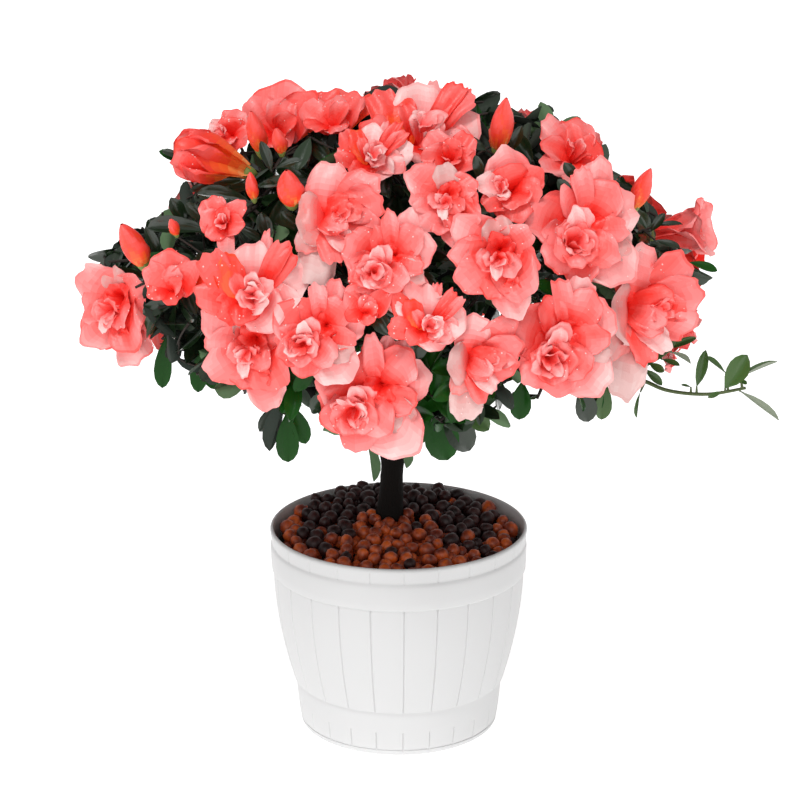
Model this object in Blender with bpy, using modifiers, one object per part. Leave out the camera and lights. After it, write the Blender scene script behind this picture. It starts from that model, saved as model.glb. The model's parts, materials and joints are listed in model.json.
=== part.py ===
"""Potted azalea: a small standard shrub with double coral blooms, in a white staved plastic pot.

The pot stands on its flat base at the origin. Clay pebbles fill it, and a short trunk rises from
them to a head of boughs. Each bough carries one mass of the crown: shoots, leaves and blooms that
keep to their own space. Metres, +Z up, the front towards -Y. Run it from Blender's text editor,
or with blender --background --python part.py.
"""

import math
import random
from collections import namedtuple

import bmesh
import bpy
from mathutils import Matrix, Vector
from mathutils.bvhtree import BVHTree

MM = 0.001
CLEAR = 0.3 * MM  # gap that separate pieces keep where they meet
UP = Vector((0, 0, 1))

# Pot: one moulded shell of staves, with a hoop under the rim and a narrower band at the foot
POT_HEIGHT = 157 * MM
RIM_RADIUS = 97.2 * MM
HOOP_RADIUS = 97 * MM
HOOP_LOW, HOOP_HIGH = 124 * MM, 144 * MM
NECK_RADIUS = 95.4 * MM  # just above and below the hoop
BODY_TOP_RADIUS = 95 * MM
BODY_FOOT_RADIUS = 80.5 * MM
BODY_CURVE = 1.8  # over 1, the body swells like a barrel
BAND_HEIGHT = 36.5 * MM
BAND_RADIUS = 79 * MM
FOOT_RADIUS = 76 * MM
FOOT_CORNER = 3 * MM
WALL = 2.6 * MM
POT_SIDES = 40

# Clay pebbles, one lumpy solid
FILL_EDGE = 151.5 * MM
FILL_MOUND = 159.5 * MM
FILL_DEPTH = 12 * MM  # how far the pebbles reach down the wall before the solid turns in
FILL_SIDES = 22
FILL_RINGS = 6
PEBBLE_LUMP = 2.2 * MM

# Trunk
TRUNK_FOOT = Vector((-7, 18, 151)) * MM
TRUNK_HEAD = Vector((-3, 17, 222)) * MM
TRUNK_RADIUS = 9 * MM
FLARE_RADIUS = 14 * MM
HEAD_RADIUS = 11.5 * MM
LEAN_START = 0.08  # the share of the trunk's height that stands upright in the pebbles

# Boughs
MAIN_RADII = (6.0 * MM, 3.6 * MM)
SIDE_RADII = (4.0 * MM, 2.7 * MM)
CHILD_SHARE = 0.8  # a bough is at most this share as thick as what it leaves
BOUGH_SHARE = 0.60  # how far a bough runs towards the middle of its mass
BOUGH_CROOK = 1.6 * MM
ELBOW_SHARE = 0.42
HUB_SHARE = 0.16  # how much further the stem of the mass runs
STEM_END = 2.2 * MM
SHOOT_RADII = (1.9 * MM, 1.3 * MM)

# Crown: a dome as wide as the ring on which the blooms sit
CROWN_MIDDLE = Vector((-2, 0, 365)) * MM
CROWN_REACH = Vector((225, 187, 126)) * MM
LOOK_SHARES = Vector((0.55, 1.0, 0.6))  # blooms look more to the front and back than they lie
LOOK_LIFT = Vector((0, 0, 0.15))
BACK_SLOPE = 0.22  # how fast the crown slopes down to the back
CROWN_SKIN = 1.04  # how far past the dome a leaf may reach
SHOULDER = 0.5  # over 0, the crown is flatter between its top and its widest ring
LEFT_SHOULDER = 0.8  # the same at the left, from the next on
SHOULDER_TURN = 120 * MM
UNDER_HEIGHT = 214 * MM  # the lowest leaf in the middle, and how much higher further out
UNDER_SLOPE = 0.36
LEFT_START = -45 * MM  # left of this, the crown's underside rises faster
LEFT_SLOPE = 0.20
SMALL_BLOOM = 58 * MM  # narrower than this, a bloom has simpler lobes
BUD_REACH = 1.04

# Shoots and leaves
SHOOT_PLACES = 180
SHOOT_LOWEST = -46  # degrees
SHOOT_REACH = 0.98
SHOOT_TO_BLOOM = 30 * MM
SHOOT_ROOM = 4 * MM
SHORTEST_SHOOT = 14 * MM
JOINT_SHARES = (0.35, 0.6, 0.85)
SHARPEST_TURN = math.radians(70)
LEAF_LENGTH = (34 * MM, 44 * MM)
LEAF_WIDTH = 0.46  # of its length, as is the next
LEAF_WIDEST = 0.56
LEAF_THICK = 1.1 * MM
LEAVES_UNDER_BLOOM = 4
LEAVES_ON_SHOOT = 4

Mass = namedtuple("Mass", "parent share blooms buds places", defaults=((), (), ()))


def trio(turn, rise):
    """Three blooms round a middle, for the sides of the crown that mirror the front."""
    return ((turn, rise + 13, 70), (turn - 16, rise - 10, 80), (turn + 15, rise - 6, 74))


# Each mass of the crown: the bough that its own leaves and how far along it, then its blooms, its
# buds and its hanging shoots. A place is degrees round from the front to the right, degrees above
# the crown's middle and, for a bloom or a bud, its width in millimetres, and a bud's height.
MASSES = {
    "far_left": Mass("trunk", 0.81, ((-64, -10.5, 70), (-43, 10, 44)), ((-51, 14.5, 18, 38),)),
    "low_front": Mass("trunk", 0.72, ((-4, -24, 80), (16, -13, 54)), (), ((12, -43),)),
    "far_right": Mass("trunk", 0.74, ((77, 14, 54),), ((56, 30.5, 14, 34),)),
    "back_left": Mass("trunk", 0.80, trio(-138, 3)),
    "back_right": Mass("trunk", 0.85, trio(140, 2)),
    "top": Mass("trunk", 0.97, ((13, 65.5, 80), (-6, 54, 48), (15, 51, 48))),
    "left": Mass("far_left", 0.34, ((-25, 11, 72),), ((-44, 23, 8, 15),)),
    "upper_left": Mass(
        "far_left", 0.50, ((-53.5, 45, 45), (-36, 27.5, 40), (-65, 55, 34)), ((-31, 37, 9, 22),)
    ),
    "low_left": Mass(
        "low_front", 0.36, ((-27, -13, 66), (-13, -2, 64)), (), ((-38, -52), (-42, -24))
    ),
    "centre": Mass("low_front", 0.50, ((-1, 20, 62), (6, 2.5, 50), (-5, 8, 34))),
    "low_right": Mass("low_front", 0.72, ((31, -7, 78),), (), ((22, -36), (36, -30))),
    "right": Mass("far_right", 0.30, ((40, 26, 80),)),
    "lower_right": Mass("far_right", 0.46, ((53, -5, 76),)),
    "right_shoot": Mass("far_right", 0.62),
    "top_right": Mass("top", 0.30, ((27, 41, 50), (57, 50, 54)), ((33, 56, 17, 42),)),
    "centre_right": Mass("top", 0.46, ((18, 17, 64), (10, 35, 54))),
    "centre_left": Mass("top", 0.60, ((-11, 32, 64),), ((-22, 37, 19, 27),)),
    "top_left": Mass(
        "top", 0.76, ((-62, 66, 60), (-37, 71.5, 50), (-116, 62, 50)),
        ((-42, 53, 14, 32), (-33, 52, 11, 20)),
    ),
    "back_top": Mass("top", 0.88, ((172, 72, 72), (-146, 55, 66), (177, 53, 74))),
    "top_back_right": Mass("top", 0.68, ((140, 50, 66), (124, 40, 48))),
    "low_back_left": Mass("back_left", 0.40, ((-110, -12, 62), (-122, -22, 72), (-88, -22, 56))),
    "upper_back_left": Mass("back_left", 0.56, ((-134, 20, 66), (-155, 31, 72))),
    "back": Mass("back_right", 0.36, (*trio(180, 0), (-177, 35, 72))),
    "low_back_right": Mass("back_right", 0.50, trio(106, -13)),
    "upper_back_right": Mass("back_right", 0.62, ((122, 18, 68), (149, 30, 72))),
}

# The long shoot at the right: its bends, as places with their reach past the dome
SIDE_SHOOT = ((66, -35, 1.02), (66, -34, 1.14), (67, -31, 1.25), (69, -27, 1.33))
SIDE_SHOOT_LEAVES = 9
SIDE_SHOOT_RISE = 45 * MM  # how far over its first place its bough aims


def direction(turn, rise):
    t, r = math.radians(turn), math.radians(rise)
    return Vector((math.sin(t) * math.cos(r), -math.cos(t) * math.cos(r), math.sin(r)))


def on_dome(turn, rise, reach=1.0):
    """The point of the crown at a place, times its reach."""
    point = CROWN_MIDDLE + direction(turn, rise) * CROWN_REACH * reach
    return point - UP * max(point.y, 0) * BACK_SLOPE


def facing(turn, rise):
    """Where a bloom looks."""
    return (direction(turn, rise) * LOOK_SHARES + LOOK_LIFT).normalized()


def sites(name):
    """The points that a mass holds: what lies nearer to them than to another's is its space."""
    if name == "right_shoot":
        return [on_dome(*place) for place in SIDE_SHOOT]
    return [on_dome(turn, rise) for turn, rise, _ in MASSES[name].blooms]


def middle(name):
    points = sites(name)
    if name == "right_shoot":
        return points[0] + UP * SIDE_SHOOT_RISE
    return sum(points, Vector()) / len(points)


# Materials


def material(name, colour, roughness, metallic=0.0):
    mat = bpy.data.materials.new(name)
    mat.use_nodes = True
    shader = mat.node_tree.nodes["Principled BSDF"]
    shader.inputs["Base Color"].default_value = (*colour, 1.0)
    shader.inputs["Roughness"].default_value = roughness
    shader.inputs["Metallic"].default_value = metallic
    return mat


# Making and joining


def add_object(name, mesh, mat, collection):
    obj = bpy.data.objects.new(name, mesh)
    mesh.materials.clear()
    mesh.materials.append(mat)
    collection.objects.link(obj)
    return obj


def mesh_from(bm, name):
    mesh = bpy.data.meshes.new(name)
    bm.to_mesh(mesh)
    bm.free()
    return mesh


def tube_mesh(name, path, radii, sides_level, extra=0.0):
    """A capped tube along the path, as a mesh, from a bevelled curve. Extra thickens it."""
    curve = bpy.data.curves.new(name, "CURVE")
    curve.dimensions = "3D"
    curve.bevel_depth = 1.0
    curve.bevel_resolution = sides_level
    curve.use_fill_caps = True
    spline = curve.splines.new("POLY")
    spline.points.add(len(path) - 1)
    for point, place, radius in zip(spline.points, path, radii):
        point.co = (*place, 1.0)
        point.radius = radius + extra
    guide = bpy.data.objects.new(name, curve)
    mesh = bpy.data.meshes.new_from_object(guide)
    bpy.data.objects.remove(guide)
    bpy.data.curves.remove(curve)
    bm = bmesh.new()
    bm.from_mesh(mesh)
    bmesh.ops.remove_doubles(bm, verts=bm.verts, dist=0.01 * MM)
    bm.to_mesh(mesh)
    bm.free()
    return mesh


def surface_tree(mesh):
    """The mesh's surface, for testing what touches it."""
    points = [vertex.co for vertex in mesh.vertices]
    return BVHTree.FromPolygons(points, [face.vertices for face in mesh.polygons])


def touches(mesh, trees):
    tree = surface_tree(mesh)
    return any(tree.overlap(other) for other in trees)


def signed_volume(faces):
    """Six times the volume inside triangles that face out, and below zero where they face in."""
    corners = ([vertex.co for vertex in face.verts] for face in faces)
    return sum(a.dot(b.cross(c)) for a, b, c in corners)


def largest_body(mesh):
    """Keeps the one outer skin, so that a sealed hollow is filled and a loose scrap dropped."""
    bm = bmesh.new()
    bm.from_mesh(mesh)
    bmesh.ops.remove_doubles(bm, verts=bm.verts, dist=0.002 * MM)
    bmesh.ops.triangulate(bm, faces=bm.faces)
    unseen = set(bm.faces)
    bodies = []
    while unseen:
        body = []
        waiting = [unseen.pop()]
        while waiting:
            face = waiting.pop()
            body.append(face)
            shared = (edge.link_faces for edge in face.edges if edge.is_manifold)
            near = {other for faces in shared for other in faces} & unseen
            unseen -= near
            waiting.extend(near)
        bodies.append(body)
    bodies.sort(key=signed_volume)
    for body in bodies[:-1]:
        bmesh.ops.delete(bm, geom=body, context="FACES")
    bm.to_mesh(mesh)
    bm.free()


def fuse(name, pieces, mat, collection):
    """One solid from overlapping pieces."""
    obj = add_object(name, pieces[0], mat, collection)
    joined = bpy.data.collections.new("Pieces of " + name)
    bpy.context.scene.collection.children.link(joined)
    for piece in pieces[1:]:
        add_object("piece", piece, mat, joined)
    union = obj.modifiers.new("Join the pieces", "BOOLEAN")
    union.operation = "UNION"
    union.solver = "EXACT"
    union.operand_type = "COLLECTION"
    union.collection = joined
    graph = bpy.context.evaluated_depsgraph_get()
    mesh = bpy.data.meshes.new_from_object(obj.evaluated_get(graph))
    obj.modifiers.remove(union)
    obj.data = mesh
    for piece in list(joined.objects):
        bpy.data.objects.remove(piece)
    bpy.data.collections.remove(joined)
    largest_body(mesh)
    mesh.name = name
    return obj


def add_cutter(name, mesh, cutters):
    cutter = bpy.data.objects.new(name, mesh)
    cutter.hide_render = True
    cutter.display_type = "WIRE"
    cutters.objects.link(cutter)
    return cutter


def cut(obj, cutter):
    modifier = obj.modifiers.new("Clear " + cutter.name, "BOOLEAN")
    modifier.operation = "DIFFERENCE"
    modifier.solver = "EXACT"
    modifier.object = cutter


# Pot and pebbles


def turned(name, profile, sides, mat, collection):
    """A profile of (radius, height) from the outer top down to the axis, turned about Z."""
    mesh = bpy.data.meshes.new(name)
    points = [(radius, 0.0, height) for radius, height in profile]
    mesh.from_pydata(points, [(i, i + 1) for i in range(len(points) - 1)], [])
    obj = add_object(name, mesh, mat, collection)
    screw = obj.modifiers.new("Turn", "SCREW")
    screw.steps = sides
    screw.render_steps = sides
    screw.use_merge_vertices = True
    screw.merge_threshold = 0.01 * MM
    screw.use_smooth_shade = True
    return obj


def body_radius(height):
    """The pot's outer radius between its foot band and its hoop, a barrel's slow curve."""
    share = (height - BAND_HEIGHT) / (HOOP_LOW - BAND_HEIGHT)
    return BODY_FOOT_RADIUS + (BODY_TOP_RADIUS - BODY_FOOT_RADIUS) * (1 - (1 - share) ** BODY_CURVE)


def pot_outside():
    """From the rim down to the flat base."""
    body = [(body_radius(h * MM), h * MM) for h in (123.6, 100, 80, 60, 47, 37.5)]
    return [
        (RIM_RADIUS - 1.0 * MM, POT_HEIGHT),
        (RIM_RADIUS, POT_HEIGHT - 1.2 * MM),
        (NECK_RADIUS + 0.8 * MM, HOOP_HIGH + 0.6 * MM),
        (HOOP_RADIUS - 0.4 * MM, HOOP_HIGH),
        (HOOP_RADIUS, (HOOP_LOW + HOOP_HIGH) / 2),
        (HOOP_RADIUS - 0.6 * MM, HOOP_LOW),
        *body,
        (BAND_RADIUS, BAND_HEIGHT - 0.6 * MM),
        (BAND_RADIUS - 1.4 * MM, 24 * MM),
        (FOOT_RADIUS, 12.6 * MM),
        (FOOT_RADIUS - 1.2 * MM, FOOT_CORNER),
        (FOOT_RADIUS - FOOT_CORNER, 0.0),
        (0.0, 0.0),
    ]


def pot_inside():
    """From the axis out over the inner floor, and up the wall to the rim."""
    return [
        (0.0, WALL),
        (FOOT_RADIUS - WALL - 2 * MM, WALL),
        *((body_radius(max(h * MM, BAND_HEIGHT)) - WALL, h * MM) for h in (40, 80, 123)),
        (NECK_RADIUS - WALL + 0.4 * MM, 146 * MM),
        (RIM_RADIUS - WALL, POT_HEIGHT),
    ]


def make_pot(mat, collection):
    return turned("pot", pot_inside() + pot_outside(), POT_SIDES, mat, collection)


def make_fill(mat, cutters, collection):
    """The pebbles as one solid: rings of a turned mound, each point pushed up or down."""
    edge_radius = NECK_RADIUS - WALL - 0.6 * MM
    shares = [k / FILL_RINGS for k in range(FILL_RINGS + 1)]
    top = [(edge_radius * s, FILL_MOUND + (FILL_EDGE - FILL_MOUND) * s**2) for s in shares]
    gap = CLEAR + 0.1 * MM
    deep = FILL_EDGE - FILL_DEPTH
    side = [(max(r - gap, 0.0), h + CLEAR) for r, h in pot_inside() if h < deep]
    guide = turned("fill_guide", top + side[::-1], FILL_SIDES, mat, collection)
    graph = bpy.context.evaluated_depsgraph_get()
    mesh = bpy.data.meshes.new_from_object(guide.evaluated_get(graph))
    bpy.data.objects.remove(guide)
    rng = random.Random("pebbles")
    for vertex in mesh.vertices:
        away = vertex.co.to_2d().length
        if vertex.co.z > FILL_EDGE - 1 * MM and away < edge_radius * 0.97:
            vertex.co.z += rng.uniform(-PEBBLE_LUMP, PEBBLE_LUMP)
    bm = bmesh.new()
    bm.from_mesh(mesh)
    bmesh.ops.recalc_face_normals(bm, faces=bm.faces)
    bm.to_mesh(mesh)
    bm.free()
    fill = add_object("pebble_fill", mesh, mat, collection)
    cut(fill, make_trunk_seat(cutters))


def make_trunk_seat(cutters):
    """The pocket in the pebbles where the trunk stands."""
    depth = 40 * MM
    radius = FLARE_RADIUS + CLEAR * 2
    bm = bmesh.new()
    bmesh.ops.create_cone(
        bm, cap_ends=True, segments=16, radius1=radius, radius2=radius, depth=depth
    )
    seat = add_cutter("trunk_seat", mesh_from(bm, "trunk_seat"), cutters)
    seat.location = TRUNK_FOOT + UP * (depth / 2 - CLEAR)
    return seat


# Trunk and boughs


def trunk_line():
    """The trunk's path and radii: a flare at the pebbles, a slight lean, and a knuckled head."""
    heights_and_radii = (
        (0.0, FLARE_RADIUS),
        (LEAN_START, FLARE_RADIUS * 0.84),
        (0.2, TRUNK_RADIUS * 1.1),
        (0.42, TRUNK_RADIUS),
        (0.66, TRUNK_RADIUS * 0.97),
        (0.82, HEAD_RADIUS * 0.94),
        (0.94, HEAD_RADIUS),
        (1.06, HEAD_RADIUS * 0.62),
    )
    rise = TRUNK_HEAD - TRUNK_FOOT
    lean = Vector((rise.x, rise.y, 0))
    path = [
        TRUNK_FOOT + lean * max(share - LEAN_START, 0) + UP * rise.z * share
        for share, _ in heights_and_radii
    ]
    return path, [radius for _, radius in heights_and_radii]


def along(path, share):
    """The point and heading at a share of a path's length."""
    left = share * sum((b - a).length for a, b in zip(path, path[1:]))
    for a, b in zip(path, path[1:]):
        step = (b - a).length
        if left <= step:
            break
        left -= step
    return a.lerp(b, min(left / step, 1.0)), (b - a).normalized()


def bough_line(name, lines):
    """A bough's path and radii: it leaves its parent rising, and bends over to its tip."""
    mass = MASSES[name]
    parent_path, parent_radii = lines[mass.parent]
    start, heading = along(parent_path, mass.share)
    tip = TRUNK_HEAD.lerp(middle(name), BOUGH_SHARE)
    way = (tip - start).normalized()
    if name == "top":
        leave = UP
    elif mass.parent == "trunk":
        leave = (Vector((way.x, way.y, 0)).normalized() + UP * 0.75).normalized()
    else:
        leave = (heading * 0.35 + way).normalized()
    elbow = start + leave * (tip - start).length * ELBOW_SHARE
    rng = random.Random("bough " + name)
    last = 5 if mass.parent == "trunk" else 3
    path = []
    for k in range(last + 1):
        s = k / last
        point = start * (1 - s) ** 2 + elbow * 2 * s * (1 - s) + tip * s**2
        crook = Vector([rng.uniform(-1, 1) for _ in range(3)]) * BOUGH_CROOK
        path.append(point + crook * math.sin(math.pi * s))
    thick, thin = MAIN_RADII if mass.parent == "trunk" else SIDE_RADII
    there = parent_radii[round(mass.share * (len(parent_radii) - 1))]
    thick = min(thick, CHILD_SHARE * there)
    thin = min(thin, CHILD_SHARE * thick)
    return path, [thick + (thin - thick) * k / last for k in range(last + 1)]


def make_limbs(bark, cutters, collection):
    """The trunk and the boughs, each bough's base cut clear of what it leaves."""
    lines = {"trunk": trunk_line()}
    add_object("trunk", tube_mesh("trunk", *lines["trunk"], 2), bark, collection)
    for name, mass in MASSES.items():
        lines[name] = bough_line(name, lines)
        bough_name = "bough_" + name
        bough = add_object(bough_name, tube_mesh(bough_name, *lines[name], 1), bark, collection)
        cutter_name = "clear_of_" + mass.parent
        cutter = cutters.objects.get(cutter_name)
        if cutter is None:
            level = 2 if mass.parent == "trunk" else 1
            larger = tube_mesh(cutter_name, *lines[mass.parent], level, CLEAR)
            cutter = add_cutter(cutter_name, larger, cutters)
        cut(bough, cutter)
    return lines


# What a mass is made of


def aimed(place, aim, spin=0.0):
    """The matrix that puts a shape's +Z along an aim at a place."""
    turn = aim.to_track_quat("Z", "Y").to_matrix().to_4x4()
    return Matrix.Translation(place) @ turn @ Matrix.Rotation(spin, 4, "Z")


def twig(start, end, radii):
    bm = bmesh.new()
    way = end - start
    bmesh.ops.create_cone(
        bm, cap_ends=True, cap_tris=True, segments=3, radius1=radii[0], radius2=radii[1],
        depth=way.length, matrix=aimed((start + end) / 2, way),
    )
    return mesh_from(bm, "twig")


def leaf(root, aim, face, length):
    """Eight faces: a blade widest past its middle, its flat side turned to face."""
    bm = bmesh.new()
    bmesh.ops.create_uvsphere(bm, u_segments=4, v_segments=2, radius=1.0)
    side = aim.cross(face).normalized() * length * LEAF_WIDTH / 2
    up = side.cross(aim).normalized() * LEAF_THICK / 2
    for vertex in bm.verts:
        x, y, z = vertex.co
        step = 0.0 if z < -0.5 else 1.0 if z > 0.5 else LEAF_WIDEST
        vertex.co = root + aim * length * step + side * x + up * y
    return mesh_from(bm, "leaf")


def bloom(place, look, width, rng):
    """A double bloom: five broad lobes round a raised rosette, on a funnel."""
    bm = bmesh.new()
    steps = 3 if width > SMALL_BLOOM else 2
    bmesh.ops.create_uvsphere(bm, u_segments=5 * steps, v_segments=4, radius=1.0)
    lobes = [rng.uniform(0.98, 1.12) for _ in range(5)]
    rims = [rng.uniform(-0.04, 0.18) for _ in range(5)]
    for vertex in bm.verts:
        x, y, z = vertex.co
        around = math.atan2(y, x) % math.tau
        k = round(around / math.tau * 5 * steps) % (5 * steps)
        petal, notch = k // steps, k % steps == 0
        if z > 0.9:
            out, high = 0.0, 0.37
        elif z > 0.3:
            out, high = 0.50, 0.40
        elif z > -0.3:
            out = lobes[petal] * (0.80 if notch else 1.0)
            high = 0.08 if notch else 0.08 + rims[petal]
        elif z > -0.9:
            out, high = 0.40, -0.12
        else:
            out, high = 0.0, -0.62
        vertex.co = Vector((math.cos(around) * out, math.sin(around) * out, high)) * width / 2
    bm.transform(aimed(place, look, rng.uniform(0, math.tau)))
    return mesh_from(bm, "bloom")


def bud(place, look, width, tall):
    """A pointed bud, widest below its middle."""
    bm = bmesh.new()
    bmesh.ops.create_uvsphere(bm, u_segments=5, v_segments=3, radius=1.0)
    for vertex in bm.verts:
        x, y, z = vertex.co
        wide = 1.0 if z < 0 else 0.72
        vertex.co = Vector((x * wide * width, y * wide * width, (z + 0.35) * tall)) / 2
    bm.transform(aimed(place, look))
    return mesh_from(bm, "bud")


# Spaces


def room(point, own, others):
    """How far inside its own space a point lies: least distance to a plane halfway to another's."""
    nearest = min(own, key=lambda site: (point - site).length)
    here = (point - nearest).length_squared
    return min(
        ((point - other).length_squared - here) / (2 * (other - nearest).length)
        for other in others
    )


def press(mesh, centre, others):
    """Draws each point back towards the centre until it is in the centre's own cell."""
    planes = [((o - centre).normalized(), (o - centre).length / 2 - CLEAR) for o in others]
    for vertex in mesh.vertices:
        way = vertex.co - centre
        reached = max(way.dot(normal) / limit for normal, limit in planes)
        vertex.co = centre + way / max(reached, 1.0)


def past_dome(point):
    """How far out a point lies in the crown, whose skin is at 1. Below the crown it is 2."""
    off = point - CROWN_MIDDLE
    off.z += BACK_SLOPE * max(off.y, 0)
    shares = Vector(a / b for a, b in zip(off, CROWN_REACH))
    level = math.hypot(shares.x, shares.y)
    high = max(shares.z, 0)
    floor = UNDER_HEIGHT + UNDER_SLOPE * math.hypot(point.x, point.y)
    floor += LEFT_SLOPE * max(LEFT_START - point.x, 0)
    if point.z < floor:
        return 2.0
    turned = min(max(-point.x / SHOULDER_TURN, 0), 1)
    shoulder = SHOULDER + (LEFT_SHOULDER - SHOULDER) * turned
    return max(math.hypot(level, high), level + shoulder * high) / CROWN_SKIN


# Growing


class Growth:
    """One mass as it grows: its space, its shoots and the pieces that it has so far."""

    def __init__(self, name, line, limbs):
        path, radii = line
        heading = along(path, 1.0)[1]
        start = path[-1] + heading * CLEAR
        hub = start + heading * (middle(name) - TRUNK_HEAD).length * HUB_SHARE
        self.rng = random.Random("mass " + name)
        self.own = sites(name)
        self.others = [site for other in MASSES if other != name for site in sites(other)]
        self.limbs = limbs
        self.blooms = []
        self.shoots = [(start, hub)]
        self.pieces = [twig(start, hub, (radii[-1], STEM_END))]
        self.leaves = []

    def fits(self, mesh, within_dome=True):
        points = [vertex.co for vertex in mesh.vertices]
        points += [(points[0] + point) / 2 for point in points[1:]]
        if any(room(point, self.own, self.others) < CLEAR for point in points):
            return False
        if within_dome and any(past_dome(point) > 1 for point in points):
            return False
        return not touches(mesh, self.limbs) and not touches(mesh, self.blooms)

    def joint(self, end):
        """The nearest point where a shoot to the end can leave the mass without a sharp turn."""
        best = None
        for start, stop in self.shoots:
            for share in JOINT_SHARES:
                point = start.lerp(stop, share)
                way = end - point
                if way.length < SHORTEST_SHOOT or way.angle(stop - start) > SHARPEST_TURN:
                    continue
                if best is None or way.length < (end - best).length:
                    best = point
        return best or self.shoots[0][1]

    def whorl(self, root, aim, count, leans):
        """Plans leaves round the end of a shoot, leaning out from it by the given degrees."""
        side = aim.orthogonal().normalized()
        first = self.rng.uniform(0, math.tau)
        for k in range(count):
            angle = first + math.tau * k / count + self.rng.uniform(-0.3, 0.3)
            lean = math.radians(self.rng.uniform(*leans))
            out = Matrix.Rotation(angle, 3, aim) @ side
            way = aim * math.cos(lean) + out * math.sin(lean)
            self.leaves.append((root, way, aim, self.rng.uniform(*LEAF_LENGTH)))

    def add_bloom(self, turn, rise, width):
        place, look = on_dome(turn, rise), facing(turn, rise)
        flower = bloom(place, look, width, self.rng)
        press(flower, place, self.others)
        self.blooms.append(surface_tree(flower))
        back = place - look * width * 0.14
        root = self.joint(back)
        self.shoots.append((root, back))
        self.pieces += [flower, twig(root, back, SHOOT_RADII)]
        way = back - root
        under = back - way.normalized() * min(width * 0.3, way.length * 0.5)
        self.whorl(under, way.normalized(), LEAVES_UNDER_BLOOM, (58, 82))

    def add_bud(self, turn, rise, width, tall):
        place = on_dome(turn, rise, BUD_REACH)
        look = (facing(turn, rise) * 0.8 + UP).normalized()
        stalk = twig(self.joint(place), place + look * 2 * MM, SHOOT_RADII)
        self.pieces += [bud(place, look, width, tall), stalk]

    def add_shoot(self, end):
        root = self.joint(end)
        stalk = twig(root, end, SHOOT_RADII)
        if not self.fits(stalk):
            return
        self.pieces.append(stalk)
        self.shoots.append((root, end))
        way = (end - root).normalized()
        self.whorl(end - way * 2 * MM, way, LEAVES_ON_SHOOT, (40, 78))

    def add_side_shoot(self):
        """The long shoot, its leaves by turns on one side and the other."""
        start, hub = self.shoots[0]
        path = [start.lerp(hub, 0.9), *self.own]
        for k, (a, b) in enumerate(zip(path, path[1:])):
            thick = SHOOT_RADII[0] * (1 - 0.12 * k)
            thin = SHOOT_RADII[0] * (0.88 - 0.12 * k)
            self.pieces.append(twig(a, b + (b - a).normalized() * 0.8 * MM, (thick, thin)))
        for k in range(SIDE_SHOOT_LEAVES):
            at, way = along(path, 0.4 + 0.6 * k / (SIDE_SHOOT_LEAVES - 1))
            side = way.cross(UP).normalized() * (1 if k % 2 else -1)
            aim = way * 0.9 + side * 0.35 + UP * self.rng.uniform(-0.3, 0.9)
            length = self.rng.uniform(*LEAF_LENGTH) * 0.8
            self.leaves.append((at, aim.normalized(), Vector((0, -1, 0.5)), length))

    def add_leaves(self, within_dome=True):
        """Makes the planned leaves that fit."""
        for root, aim, face, length in self.leaves:
            blade = leaf(root, aim, face, length)
            if self.fits(blade, within_dome):
                self.pieces.append(blade)


def shoot_places():
    """Places all over the dome that no bloom covers, for shoots with leaves alone."""
    every_bloom = [on_dome(t, r) for mass in MASSES.values() for t, r, _ in mass.blooms]
    golden = math.pi * (3 - math.sqrt(5))
    found = []
    for k in range(SHOOT_PLACES):
        rise = math.degrees(math.asin(1 - 2 * (k + 0.5) / SHOOT_PLACES))
        point = on_dome(math.degrees(k * golden), rise, SHOOT_REACH)
        out = past_dome(point)
        if rise < SHOOT_LOWEST or out == 2:
            continue
        point = CROWN_MIDDLE.lerp(point, min(SHOOT_REACH / out, 1))
        if min((point - b).length for b in every_bloom) < SHOOT_TO_BLOOM:
            continue
        found.append(point)
    return found


def grow_mass(name, line, limbs, places):
    """The pieces of one mass: a stem from its bough, shoots, blooms, buds and leaves."""
    growth = Growth(name, line, limbs)
    if name == "right_shoot":
        growth.add_side_shoot()
        growth.add_leaves(within_dome=False)
        return growth.pieces
    mass = MASSES[name]
    for turn, rise, width in mass.blooms:
        growth.add_bloom(turn, rise, width * MM)
    for turn, rise, width, tall in mass.buds:
        growth.add_bud(turn, rise, width * MM, tall * MM)
    ends = [on_dome(*place) for place in mass.places]
    ends += [point for point in places if room(point, growth.own, growth.others) > SHOOT_ROOM]
    for end in ends:
        growth.add_shoot(end)
    growth.add_leaves()
    return growth.pieces


def main():
    for obj in list(bpy.data.objects):
        bpy.data.objects.remove(obj)
    azalea = bpy.data.collections.new("potted_azalea")
    cutters = bpy.data.collections.new("cutters")
    for collection in (azalea, cutters):
        bpy.context.scene.collection.children.link(collection)
    white = material("white_plastic", (0.80, 0.80, 0.80), 0.38)
    clay = material("expanded_clay", (0.22, 0.07, 0.035), 0.85)
    bark = material("bark", (0.018, 0.012, 0.010), 0.9)
    foliage = material("leaves_and_blooms", (0.78, 0.13, 0.12), 0.6)

    make_pot(white, azalea)
    make_fill(clay, cutters, azalea)
    lines = make_limbs(bark, cutters, azalea)
    limbs = [surface_tree(tube_mesh("limb", *line, 1, CLEAR)) for line in lines.values()]
    places = shoot_places()
    for name in MASSES:
        fuse("foliage_" + name, grow_mass(name, lines[name], limbs, places), foliage, azalea)


main()
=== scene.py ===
"""Potted azalea in its looks: bark, leaves, double coral blooms, a staved pot and clay pebbles.

The crown grows from the limbs by the rule of the part's source, carried to finer twigs with leaves
near their real size. Metres, +Z up, the front towards -Y.
"""

import json
import math
import random
from collections import namedtuple

import bmesh
import bpy
import numpy as np
from mathutils import Matrix, Vector

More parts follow.
